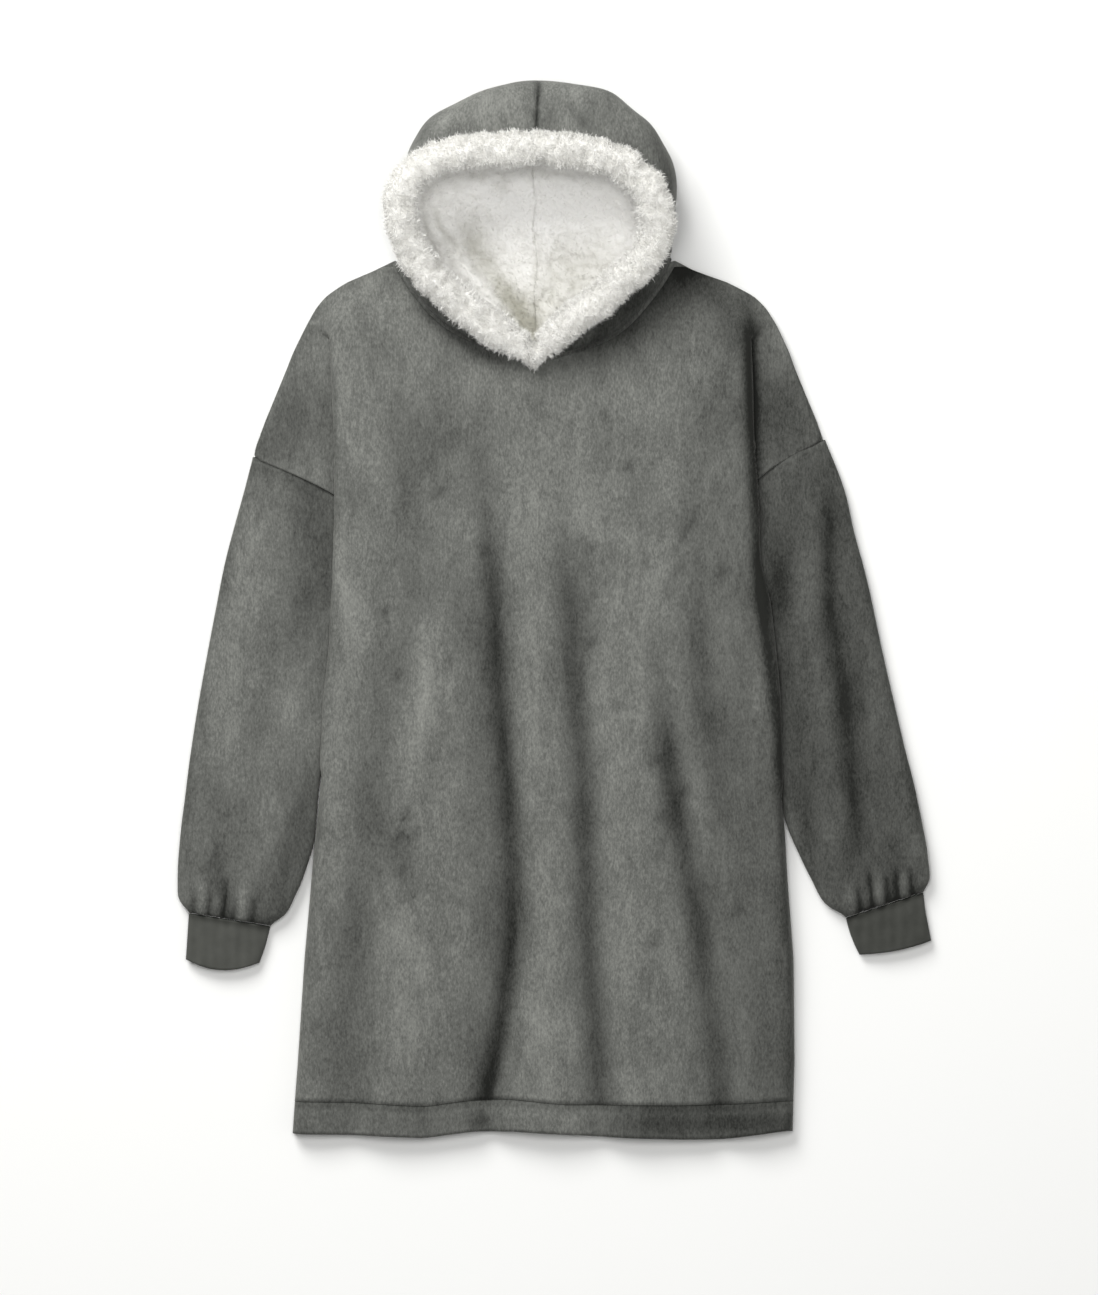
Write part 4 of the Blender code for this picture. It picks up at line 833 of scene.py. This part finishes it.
def armhole_ring(armhole, edge, wall, around):
    """The sleeve's first ring: the armhole seam above and below, clear of the body's side."""
    seam = np.stack([armhole["x"], armhole["y"], armhole["z"]], axis=1)
    side = math.copysign(1.0, seam[0, 0])
    shift = np.array((side * 0.0002, 0.0010, -0.0040))
    count = round(around * ON_TOP_SHARE)
    above = through(seam, (1 - np.cos(np.pi * np.linspace(0, 1, count))) / 2) + shift
    fade = np.clip(1 - np.arange(count) / 5, 0, 1)[:, None]
    above -= fade * np.array((side * wall / 2, 0.0, 0.0010))
    above += fade[::-1] * np.array((side * (wall / 2 + 0.003), -0.004, -0.003))
    below = through(seam, np.linspace(0.90, 0.05, around - count)) + shift
    below[:, 2] = wall / 2
    ring = np.vstack([above, below])
    nearest = np.abs(read(edge, "tuck", ring[:, 1])) + wall / 2 + 2 * SEAM_ROOM
    ring[:, 0] = side * np.maximum(np.abs(ring[:, 0]), nearest)
    return ring


def sleeve_grid(rows, armhole, edge, wall, around, count):
    """Rings from the armhole seam to the cuff seam, eased between the table's rows."""
    rings = [] if armhole is None else [armhole_ring(armhole, edge, wall, around)]
    for i in range(len(rows["bow"])):
        rings.append(tube_ring(
            (rows["outer_x"][i], rows["outer_y"][i]), (rows["inner_x"][i], rows["inner_y"][i]),
            rows["bow"][i], rows["height"][i], wall, around))
    rings = np.array(rings)
    flat = through(rings.reshape(len(rings), -1), np.linspace(0, 1, count))
    return flat.reshape(count, around, 3)


def sleeve(name, node, rows, armhole, edge, creases, nap_and_shading, pleats, seed, lean):
    grid = sleeve_grid(rows, armhole, edge, CLOTH, SLEEVE_AROUND, SLEEVE_RINGS)
    around = grid.shape[1]
    points = grid.reshape(-1, 3)
    on_top = np.clip((points[:, 2] - 0.0085) / 0.004, 0, 1)
    from_seam = np.repeat(np.arange(len(grid)), around) / len(grid)
    rolled = -0.0006 * np.exp(-((from_seam / 0.018) ** 2)) - 0.0018 * np.exp(-(((1 - from_seam) / 0.012) ** 2))
    lift = strokes(points, creases) / 1000 + strokes(points, pleats) / 1000
    lift += ripples(points, 0.05, seed, 2.0) * 0.0008 + rolled
    points[:, 2] += lift * on_top
    # The sleeve's tone: lean darkens the whole sleeve as painted shade, the strokes paint shade and light, the pleat
    # valleys are painted darker and their ridges lighter, and a slow random undulation is added.
    tone = lean + strokes(points, nap_and_shading) + 0.25 * strokes(points, pleats) + 0.10 * ripples(points, 0.04, seed + 1, 2.5)
    piece = cloth_piece(name, points, grid_faces(len(grid), around, True), CLOTH, grey_plush, tone)
    return worn(piece, node)


RIGHT_SLEEVE_CREASES = [
    (-1.5, 9, [(-250, 110), (-245, 50), (-262, -10)]),
    (-1.3, 10, [(-246, -170), (-262, -240), (-288, -292)]),
    (1.2, 12, [(-320, 40), (-335, -80), (-350, -220)]),
]
# Painted shade and light on the sleeves. Below nought it is darker along the fold valleys, the armhole and cuff seams
# and the outer edges. Above nought it is lighter on ridges and broad lit bands. Columns: strength, half width in mm,
# line in mm
RIGHT_SLEEVE_SHADE_AND_LIGHT = [
    (-0.50, 26, [(-232, 170), (-238, 50), (-258, -60)]),
    (-0.48, 20, [(-240, -130), (-262, -240), (-296, -340)]),
    (0.26, 34, [(-290, 150), (-325, -50), (-340, -170)]),
    (-0.34, 8, [(-330, 158), (-270, 134), (-216, 110)]),
    (-0.34, 9, [(-300, 170), (-342, -10), (-362, -120), (-380, -290)]),
    (-0.12, 30, [(-345, -140), (-352, -210), (-350, -330)]),
    (-0.35, 9, [(-410, -296), (-330, -306), (-240, -320)]),
]
RIGHT_PLEATS = [
    (-2.2, 4, [(-358, -276), (-363, -320)]),
    (-2.4, 4, [(-326, -258), (-334, -330)]),
    (-2.2, 4, [(-317, -282), (-324, -328)]),
    (-1.7, 4, [(-344, -274), (-348, -324)]),
    (-1.9, 5, [(-299, -278), (-306, -330)]),
    (-1.6, 12, [(-341, -220), (-331, -330)]),
    (1.7, 6, [(-351, -258), (-356, -324)]),
    (1.7, 5, [(-309, -262), (-314, -326)]),
    (1.4, 4, [(-338, -276), (-341, -326)]),
]
LEFT_SLEEVE_CREASES = [
    (-2.0, 8, [(275, 152), (276, 10), (295, -138), (305, -248), (315, -278)]),
    (1.4, 10, [(258, 130), (258, 0), (275, -130), (285, -220)]),
    (-1.4, 8, [(232, 60), (240, -60), (262, -180)]),
]
LEFT_SLEEVE_SHADE_AND_LIGHT = [
    (-0.42, 60, [(246, 230), (262, 0), (290, -140), (335, -360)]),
    (-0.36, 10, [(272, 180), (276, 10), (295, -138), (305, -248), (320, -290)]),
    (-0.30, 14, [(212, 150), (222, 0), (236, -140), (270, -300)]),
    (0.22, 12, [(254, 170), (254, 0), (275, -170)]),
    (-0.34, 9, [(286, 150), (330, -30), (352, -130), (380, -290)]),
    (-0.40, 9, [(420, -262), (335, -292), (240, -324)]),
]
LEFT_PLEATS = [
    (-2.3, 4, [(303, -268), (307, -322)]),
    (-2.4, 4, [(314, -248), (321, -318)]),
    (-2.1, 4, [(331, -258), (334, -312)]),
    (-2.1, 4, [(341, -252), (345, -306)]),
    (-1.7, 4, [(354, -250), (360, -302)]),
    (1.8, 5, [(322, -250), (328, -314)]),
    (1.6, 5, [(295, -268), (300, -324)]),
    (1.4, 4, [(348, -252), (352, -304)]),
]
# The last argument darkens the whole sleeve as painted shade, the wearer's left sleeve more.
sleeve("sleeve_right_plush", "sleeve_right", SLEEVE_RIGHT, ARMHOLE_RIGHT, RIGHT_EDGE,
       RIGHT_SLEEVE_CREASES, RIGHT_SLEEVE_SHADE_AND_LIGHT, RIGHT_PLEATS, 21, -0.16)
sleeve("sleeve_left_plush", "sleeve_left", SLEEVE_LEFT, ARMHOLE_LEFT, LEFT_EDGE,
       LEFT_SLEEVE_CREASES, LEFT_SLEEVE_SHADE_AND_LIGHT, LEFT_PLEATS, 31, -0.30)

# The cuffs. Short tubes of fine stretch knit, folded double and sewn to the gathered sleeve.
# The knit is smooth and darker than the plush, with ribs too fine to count from here.
CUFF_RIGHT = table(
    TUBE_COLUMNS,
    (-0.3664, -0.3024, -0.2846, -0.3154, 0.0, 0.0128),
    (-0.3675, -0.3185, -0.2885, -0.3315, 0.0, 0.0130),
    (-0.3685, -0.3345, -0.2925, -0.3435, -0.004, 0.0125),
    (-0.3695, -0.3485, -0.2955, -0.3515, -0.009, 0.0120),
)
CUFF_LEFT = table(
    TUBE_COLUMNS,
    (0.3696, -0.2817, 0.2920, -0.3070, 0.0, 0.0128),
    (0.3715, -0.2985, 0.2955, -0.3205, 0.0, 0.0130),
    (0.3745, -0.3145, 0.3005, -0.3335, -0.002, 0.0125),
    (0.3775, -0.3295, 0.3055, -0.3435, -0.003, 0.0120),
)
KNIT_RIB_MM = 1.8


def stretch_knit():
    """Fine polyester knit: matt, with shallow ribs along the arm and a dry, even face, darkened by painted shade from
    one value per point.
    """
    made, tree, shader, place = new_material("stretch_knit")
    nap_and_shading = add(tree, "ShaderNodeAttribute", attribute_name="nap_and_shading").outputs["Fac"]
    rib = add(tree, "ShaderNodeTexWave", {
        "Vector": place, "Scale": per_metre(KNIT_RIB_MM) / 20, "Distortion": 0.6, "Detail": 1.0,
        "Detail Scale": 2.0}, bands_direction="X")
    cloud = add(tree, "ShaderNodeTexNoise", {"Vector": place, "Scale": per_metre(14.0), "Detail": 4.0})
    tone = add(tree, "ShaderNodeMath", {0: nap_and_shading, 1: 0.5, 2: 0.32}, operation="MULTIPLY_ADD")
    tone = add(tree, "ShaderNodeMath", {0: cloud.outputs["Fac"], 1: 0.3, 2: tone.outputs[0]}, operation="MULTIPLY_ADD")
    tone = add(tree, "ShaderNodeMath", {0: rib.outputs["Fac"], 1: 0.06, 2: tone.outputs[0]}, operation="MULTIPLY_ADD")
    ramp = add(tree, "ShaderNodeValToRGB", {"Fac": tone.outputs[0]})
    ramp.color_ramp.elements[0].color = linear("#2A2B27")
    ramp.color_ramp.elements[1].color = linear("#62635E")
    tree.links.new(ramp.outputs["Color"], shader.inputs["Base Color"])
    bump = add(tree, "ShaderNodeBump", {"Height": rib.outputs["Fac"], "Strength": 0.3, "Distance": 0.0004})
    tree.links.new(bump.outputs["Normal"], shader.inputs["Normal"])
    shader.inputs["Roughness"].default_value = 0.9
    shader.inputs["Specular IOR Level"].default_value = 0.2
    shader.inputs["Sheen Weight"].default_value = 0.12
    return made


cuff_knit = stretch_knit()
CUFF_CLOTH = 0.003


def cuff(name, node, rows, nap_and_shading, seed):
    grid = sleeve_grid(rows, None, None, CUFF_CLOTH, SLEEVE_AROUND, 22)
    points = grid.reshape(-1, 3)
    on_top = np.clip((points[:, 2] - 0.006) / 0.003, 0, 1)
    points[:, 2] += ripples(points, 0.018, seed, 2.0) * 0.0005 * on_top
    piece = cloth_piece(name, points, grid_faces(22, SLEEVE_AROUND, True), CUFF_CLOTH, cuff_knit, strokes(points, nap_and_shading))
    return worn(piece, node)


# Painted shade on the cuffs: a dark line along the cuff seam and a broad darkening, stronger on the wearer's left cuff.
# Columns: strength, half width in mm, line in mm
RIGHT_CUFF_SHADE = [
    (-0.6, 4, [(-410, -296), (-330, -310), (-240, -324)]),
    (-0.2, 70, [(-450, -325), (-200, -335)]),
]
LEFT_CUFF_SHADE = [
    (-0.6, 4, [(420, -264), (335, -293), (240, -326)]),
    (-0.55, 70, [(200, -315), (450, -325)]),
]
cuff("cuff_right_knit", "cuff_right", CUFF_RIGHT, RIGHT_CUFF_SHADE, 41)
cuff("cuff_left_knit", "cuff_left", CUFF_LEFT, LEFT_CUFF_SHADE, 42)

# The hood. Two shaped halves of plush joined by one seam over the head, sewn to the neck. The
# seam draws the cloth in a little, and short creases run off it at the crown.
HOOD_ROWS, HOOD_AROUND = 90, 46


def hood_grid(hood, first, last, rows, around):
    """A fine grid over the hood's sections, from the first to the last of those named."""
    coarse = np.array([hood_section(hood, i, around) for i in range(first, last)])
    flat = through(coarse.reshape(len(coarse), -1), np.linspace(0, 1, rows))
    return flat.reshape(rows, around, 3)


def hood_half(name, node, hood, creases, nap_and_shading, seed):
    grid = hood_grid(hood, 0, 11, HOOD_ROWS, HOOD_AROUND)
    points = grid.reshape(-1, 3)
    points[:, 2] = np.maximum(points[:, 2], HOOD_CLOTH / 2)
    on_top = np.clip((points[:, 2] - 0.006) / 0.01, 0, 1) * np.clip((points[:, 1] - 0.46) / 0.01, 0, 1)
    points[:, 2] += on_top * strokes(points, creases) / 1000
    # The hood's tone: painted shade and light from the strokes, a slight overall darkening and a slow random
    # undulation.
    tone = strokes(points, nap_and_shading) - 0.08 + 0.16 * ripples(points, 0.03, seed, 1.4)
    piece = cloth_piece(name, points, grid_faces(HOOD_ROWS, HOOD_AROUND), HOOD_CLOTH, grey_plush, tone)
    return worn(piece, node)


HOOD_CREASES = [
    (-2.0, 3, [(-14, 560), (-17, 500), (-20, 430)]),
    (-1.8, 5, [(2, 514), (16, 500), (42, 468)]),
    (-1.8, 7, [(40, 512), (80, 470), (118, 412)]),
    (-1.4, 6, [(-44, 518), (-85, 490), (-120, 462)]),
    (1.2, 6, [(-6, 505), (-8, 478)]),
]
# Painted shade and light on the hood. It is dark along its middle seam and creases and on the crown's side away from
# the light, and lighter on the crown's lit side. It also carries the painted shadow of the hood along the neck.
# Columns: strength, half width in mm, line in mm
HOOD_SHADE_AND_LIGHT = [
    (-0.95, 3.2, [(-14, 560), (-17, 500), (-20, 430)]),
    (-0.45, 5, [(2, 514), (16, 500), (42, 468)]),
    (-0.60, 14, [(62, 530), (100, 480), (124, 400)]),
    (0.26, 10, [(45, 516), (85, 478), (110, 425)]),
    (-0.30, 8, [(-20, 500), (-30, 488)]),
    (0.42, 7, [(-88, 506), (-116, 478), (-146, 430)]),
    (0.40, 26, [(-120, 512), (-60, 500), (-5, 500)]),
    (0.20, 18, [(0, 500), (40, 505)]),
    (-0.80, 16, [(140, 372), (100, 325), (70, 300), (40, 268), (-50, 230)]),
    (-0.30, 9, [(-180, 366), (-125, 300), (-54, 246)]),
]
hood_half("hood_right_plush", "hood_right", HOOD_RIGHT, HOOD_CREASES, HOOD_SHADE_AND_LIGHT, 51)
hood_half("hood_left_plush", "hood_left", HOOD_LEFT, HOOD_CREASES, HOOD_SHADE_AND_LIGHT, 52)

# The lining and rolled edge. Sherpa fleece: off-white polyester loops brushed and clumped into
# small curls on a knit backing. It lines the hood and is rolled out round the face opening.
# Clumps are about 9 mm across; every curl that stands off them is a thin bent strip.
CLUMP_MM = 9.0
CURL_LENGTH = 0.0040
CURL_WIDTH = 0.00030
CURL_STEPS = 3


def sherpa(name, shade, lit):
    """Sherpa: soft and matt, toned by one value per point, with painted shade making it yellower and darker in the
    hollows between the clumps.
    """
    made, tree, shader, place = new_material(name)
    pile_and_shading = add(tree, "ShaderNodeAttribute", attribute_name="pile_and_shading").outputs["Fac"]
    fleck = add(tree, "ShaderNodeTexNoise", {"Vector": place, "Scale": per_metre(2.2), "Detail": 3.0, "Roughness": 0.6})
    tone = add(tree, "ShaderNodeMath", {0: fleck.outputs["Fac"], 1: 0.16, 2: pile_and_shading}, operation="MULTIPLY_ADD")
    ramp = add(tree, "ShaderNodeValToRGB", {"Fac": tone.outputs[0]})
    ramp.color_ramp.elements[0].position = 0.0
    ramp.color_ramp.elements[0].color = linear(shade)
    ramp.color_ramp.elements[1].position = 1.0
    ramp.color_ramp.elements[1].color = linear(lit)
    tree.links.new(ramp.outputs["Color"], shader.inputs["Base Color"])
    bump = add(tree, "ShaderNodeBump", {"Height": fleck.outputs["Fac"], "Strength": 0.5, "Distance": 0.0012})
    tree.links.new(bump.outputs["Normal"], shader.inputs["Normal"])
    shader.inputs["Roughness"].default_value = 0.95
    shader.inputs["Specular IOR Level"].default_value = 0.1
    shader.inputs["Sheen Weight"].default_value = 0.25
    shader.inputs["Sheen Roughness"].default_value = 0.6
    return made


off_white_sherpa = sherpa("off_white_sherpa", "#A3A195", "#FBFAF7")


def grid_normals(grid, closed=False):
    """Unit normals of a grid of points."""
    if closed:
        around = np.roll(grid, -1, axis=1) - np.roll(grid, 1, axis=1)
    else:
        around = np.gradient(grid, axis=1)
    normals = np.cross(np.gradient(grid, axis=0), around)
    return normals / np.maximum(np.linalg.norm(normals, axis=2, keepdims=True), 1e-12)


def clumped(points, normals, height, seed):
    """Points pushed out into round clumps, and how high each stands, from nought to one."""
    draw = np.random.default_rng(seed)
    count = len(points)
    chosen = draw.permutation(count)[: max(40, count // 5)]
    centres = []
    finder = kdtree.KDTree(len(chosen))
    spacing = CLUMP_MM / 1000 * 0.62
    kept = []
    cells = {}
    for i in chosen:
        p = points[i]
        key = tuple((p / spacing).astype(int))
        near = [
            q for dx in (-1, 0, 1) for dy in (-1, 0, 1) for dz in (-1, 0, 1)
            for q in cells.get((key[0] + dx, key[1] + dy, key[2] + dz), ())
        ]
        if all(np.linalg.norm(p - q) > spacing for q in near):
            cells.setdefault(key, []).append(p)
            kept.append(p)
    finder = kdtree.KDTree(len(kept))
    for i, p in enumerate(kept):
        finder.insert(p, i)
    finder.balance()
    sizes = draw.uniform(0.75, 1.25, len(kept))
    warped = points + 0.0012 * np.stack([ripples(points, 0.006, seed + k) for k in (1, 2, 3)], axis=1)
    high = np.zeros(count)
    for i, p in enumerate(warped):
        _, which, distance = finder.find(p)
        reach = distance / (spacing * 0.85 * sizes[which])
        high[i] = math.sqrt(max(0.0, 1 - min(reach, 1.0) ** 2)) * sizes[which]
    high = np.clip(high, 0, 1)
    return points + normals * (high * height)[:, None], high


def curls(name, points, normals, high, shares, count, seed, finish, length=CURL_LENGTH):
    """Thin bent strips that stand off a cloth. shares is how thickly they grow at each point."""
    draw = np.random.default_rng(seed)
    roots = draw.choice(len(points), count, p=shares / shares.sum())
    base = points[roots] + draw.normal(0, 0.0009, (count, 3))
    up = normals[roots]
    side = np.cross(up, draw.normal(size=(count, 3)))
    side /= np.linalg.norm(side, axis=1)[:, None]
    lean = np.cross(up, side)
    size = length * draw.uniform(0.55, 1.35, count)[:, None]
    hook = draw.uniform(0.6, 2.6, count)[:, None]
    bend = draw.uniform(0.3, 0.9, count)[:, None]
    strip = []
    for k in range(CURL_STEPS + 1):
        t = k / CURL_STEPS
        along = base + up * size * bend * np.sin(t * hook) / hook * 1.6 + lean * size * (1 - np.cos(t * hook)) * 0.55
        along += side * size * 0.18 * math.sin(t * 5.0)
        width = CURL_WIDTH * (1 - 0.75 * t)
        strip.append(np.stack([along - side * width, along + side * width], axis=1))
    verts = np.stack(strip, axis=1).reshape(count, -1, 3)
    each = verts.shape[1]
    one = np.array([(2 * k, 2 * k + 1, 2 * k + 3, 2 * k + 2) for k in range(CURL_STEPS)])
    faces = (one[None] + (np.arange(count) * each)[:, None, None]).reshape(-1, 4)
    # Each curl is painted a little darker at its root than at its tip, as painted shade.
    pile_and_shading = np.repeat(high[roots], each) + np.tile(np.repeat(np.linspace(-0.06, 0.06, CURL_STEPS + 1), 2), count)
    mesh = bpy.data.meshes.new(name)
    mesh.from_pydata(verts.reshape(-1, 3).tolist(), [], faces.tolist())
    mesh.attributes.new("pile_and_shading", "FLOAT", "POINT").data.foreach_set("value", pile_and_shading.astype("f"))
    mesh.shade_smooth()
    mesh.materials.append(finish)
    piece = bpy.data.objects.new(name, mesh)
    bpy.context.scene.collection.objects.link(piece)
    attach(piece, "root")
    return piece


LINING_WALL, LINING_ROOM = 0.006, {"left": 0.0022, "right": 0.0015}
LINING_ROWS, LINING_AROUND = 120, 76
LINING_FRONT = {
    "right": ((-0.0300, 0.2665, 0.0215), (-0.0745, 0.2850, 0.0190), (-0.0980, 0.3060, 0.0140),
              (-0.0660, 0.2950, 0.0095), (-0.0190, 0.2640, 0.0095)),
    "left": ((-0.0090, 0.2665, 0.0215), (0.0320, 0.2835, 0.0190), (0.0560, 0.3060, 0.0140),
             (0.0260, 0.2950, 0.0095), (-0.0200, 0.2640, 0.0095)),
}
LINING_FOLDS = [
    (-5.0, 8, [(-90, 400), (-80, 356), (-60, 326), (-41, 302), (-14, 258)]),
    (6.0, 10, [(-116, 400), (-96, 356), (-74, 322), (-44, 284)]),
    (-2.5, 4, [(-124, 416), (-116, 386), (-102, 371), (-88, 348)]),
    (-2.2, 3.5, [(-134, 402), (-125, 368), (-114, 346)]),
    (-2.0, 6, [(-62, 434), (-46, 414)]),
    (-1.6, 5, [(64, 420), (66, 396)]),
]
# Painted shade and light inside the hood. It is darker in the lining's valleys and folds, under the rolled edge's top,
# along its middle seam and across the lower middle where the light falls most. It is lighter high up and at the sides.
# Columns: strength, half width in mm, line in mm
LINING_SHADE = [
    (-0.34, 12, [(-86, 424), (-82, 368), (-70, 346), (-54, 326), (-38, 304), (-6, 240)]),
    (-0.34, 12, [(-66, 344), (-50, 322), (-34, 300), (-16, 262)]),
    (-0.16, 26, [(-74, 430), (-76, 376), (-60, 320)]),
    (-0.18, 7, [(-150, 420), (-110, 432), (-55, 438), (-10, 439), (45, 438), (90, 426)]),
    (-0.22, 9, [(-60, 434), (-44, 412)]),
    (-0.30, 3.5, [(-124, 416), (-116, 386), (-102, 371), (-88, 348)]),
    (-0.26, 3, [(-134, 402), (-125, 368), (-114, 346)]),
    (-0.16, 1.8, [(-20, 470), (-21, 386), (-17, 360), (-21, 320), (-17, 230)]),
    (0.30, 34, [(-170, 400), (-60, 412), (0, 408), (60, 402), (150, 350)]),
    (-0.36, 34, [(90, 366), (14, 338), (-12, 300), (-18, 210)]),
]
SEAM_OVERLAP = 0.0009


def lining_half(name, node, hood, key, seed):
    coarse = hood_grid(hood, 0, 9, LINING_ROWS, LINING_AROUND)
    inward = grid_normals(coarse)
    if inward[LINING_ROWS // 2, -12][2] < 0:
        inward = -inward
    skip = LINING_ROWS // 8
    grid, inward = coarse[skip:], inward[skip:]
    inward[:, -1, 0] = 0.0
    room = LINING_ROOM[key] + (HOOD_CLOTH + LINING_WALL) / 2
    grid = grid + inward * room
    front = np.stack([through(LINING_FRONT[key], np.linspace(0, 1, LINING_AROUND))])[0]
    past_neck = front + 0.72 * (grid[0] - front)
    past_neck[:, 2] = np.maximum(past_neck[:, 2], 0.0092)
    added = [front + (past_neck - front) * t for t in np.linspace(0, 1, 24, endpoint=False)]
    added += [past_neck + (grid[0] - past_neck) * t for t in np.linspace(0, 1, 8, endpoint=False)]
    grid = np.concatenate([np.array(added), grid])
    side = 1.0 if hood is HOOD_LEFT else -1.0
    seam_y = grid[:, -1, 1]
    seam = HOOD_MIDDLE_X + 0.0016 * np.sin(seam_y * 95) + 0.0011 * np.sin(seam_y * 41) - side * SEAM_OVERLAP
    grid[:, :, 0] += (seam - grid[:, -1, 0])[:, None] * np.linspace(0, 1, LINING_AROUND) ** 12
    inward = grid_normals(grid)
    if inward[len(grid) // 2, -12][2] < 0:
        inward = -inward
    inward[:, -1, 0] = 0.0
    points = grid.reshape(-1, 3)
    facing = inward.reshape(-1, 3)
    points = points + facing * (strokes(points, LINING_FOLDS) / 1000 + 0.0010 * ripples(points, 0.03, seed))[:, None]
    points[:, 2] = np.maximum(points[:, 2], LINING_WALL / 2 + HOOD_CLOTH + 0.0004)
    points, high = clumped(points, facing, 0.0012, seed)
    shade = strokes(points, LINING_SHADE)
    # The lining is painted lighter than the rolled edge, as painted light in the hood's shade. It also has painted
    # shade in the hollows between clumps and the painted shade and light of the strokes.
    pile_and_shading = 0.64 + 0.14 * high + shade
    count = len(grid)
    piece = cloth_piece(name, points, grid_faces(count, LINING_AROUND), 0.004, off_white_sherpa, pile_and_shading, "pile_and_shading")
    fluff = curls(name + "_curls", points + facing * 0.0022, facing, np.clip(high * 0.14 + 0.68 + shade, 0, 1),
                  np.ones(len(points)), 15000, seed + 5, off_white_sherpa)
    worn(piece, node)
    return piece


lining_half("hood_lining_right_sherpa", "hood_lining_right", HOOD_RIGHT, "right", 61)
lining_half("hood_lining_left_sherpa", "hood_lining_left", HOOD_LEFT, "left", 62)

TRIM_WIDTH, TRIM_HEIGHT = 0.031, 0.016
TRIM_ALONG, TRIM_AROUND = 150, 44


def trim_half(name, node, hood, seed):
    side = 1.0 if hood is HOOD_LEFT else -1.0
    rim = np.stack([hood["rim_x"], hood["rim_y"], hood["rim_z"]], axis=1)
    path = through(rim, np.linspace(0, 1, TRIM_ALONG))
    path[:, 2] += TRIM_HEIGHT / 2 + HOOD_CLOTH / 2 + SEAM_ROOM
    path[0, 0] = path[-1, 0] = HOOD_MIDDLE_X - side * SEAM_OVERLAP
    direction = np.gradient(path, axis=0)
    direction[0], direction[-1] = (side, 0.0, 0.0), (-side, 0.0, 0.0)
    for _ in range(6):
        direction[1:-1] = (direction[:-2] + direction[1:-1] + direction[2:]) / 3
    level = np.stack([direction[:, 1], -direction[:, 0], np.zeros(len(path))], axis=1)
    level /= np.linalg.norm(level, axis=1)[:, None]
    angle = np.linspace(0, 2 * math.pi, TRIM_AROUND, endpoint=False)
    outward = level[:, None, :] * np.cos(angle)[None, :, None] + np.array((0, 0, 1.0)) * np.sin(angle)[None, :, None]
    narrowed = 1 - 0.34 * np.exp(-((np.linspace(0, 1, TRIM_ALONG) / 0.10) ** 2))
    path[:, 1] += 0.0045 * np.exp(-((np.linspace(0, 1, TRIM_ALONG) / 0.10) ** 2))
    half_width = (TRIM_WIDTH / 2 - 0.002) * narrowed[:, None, None]
    shape = level[:, None, :] * half_width * np.cos(angle)[None, :, None]
    shape = shape + np.array((0, 0, TRIM_HEIGHT / 2 - 0.001)) * np.sin(angle)[None, :, None]
    grid = path[:, None, :] + shape
    points, facing = grid.reshape(-1, 3), outward.reshape(-1, 3)
    points = points + facing * (0.0016 * ripples(points, 0.022, seed + 9))[:, None]
    points, high = clumped(points, facing, 0.0018, seed)
    # Painted shade in the hollows between the clumps of the rolled edge.
    pile_and_shading = 0.55 + 0.14 * high
    faces = grid_faces(TRIM_ALONG, TRIM_AROUND, True)
    piece = cloth_piece(name, points, faces, 0, off_white_sherpa, pile_and_shading, "pile_and_shading")
    growth = 0.15 + np.clip(facing[:, 2] + 0.35, 0, 1)
    growth = growth + 1.2 * np.clip(1 - np.abs(facing[:, 2]) * 1.6, 0, 1)
    fluff = curls(name + "_curls", points, facing, np.clip(high * 0.14 + 0.61, 0, 1), growth, 30000, seed + 5,
                  off_white_sherpa)
    worn(piece, node)
    return piece


trim_half("hood_trim_right_sherpa", "hood_trim_right", HOOD_RIGHT, 71)
trim_half("hood_trim_left_sherpa", "hood_trim_left", HOOD_LEFT, 72)
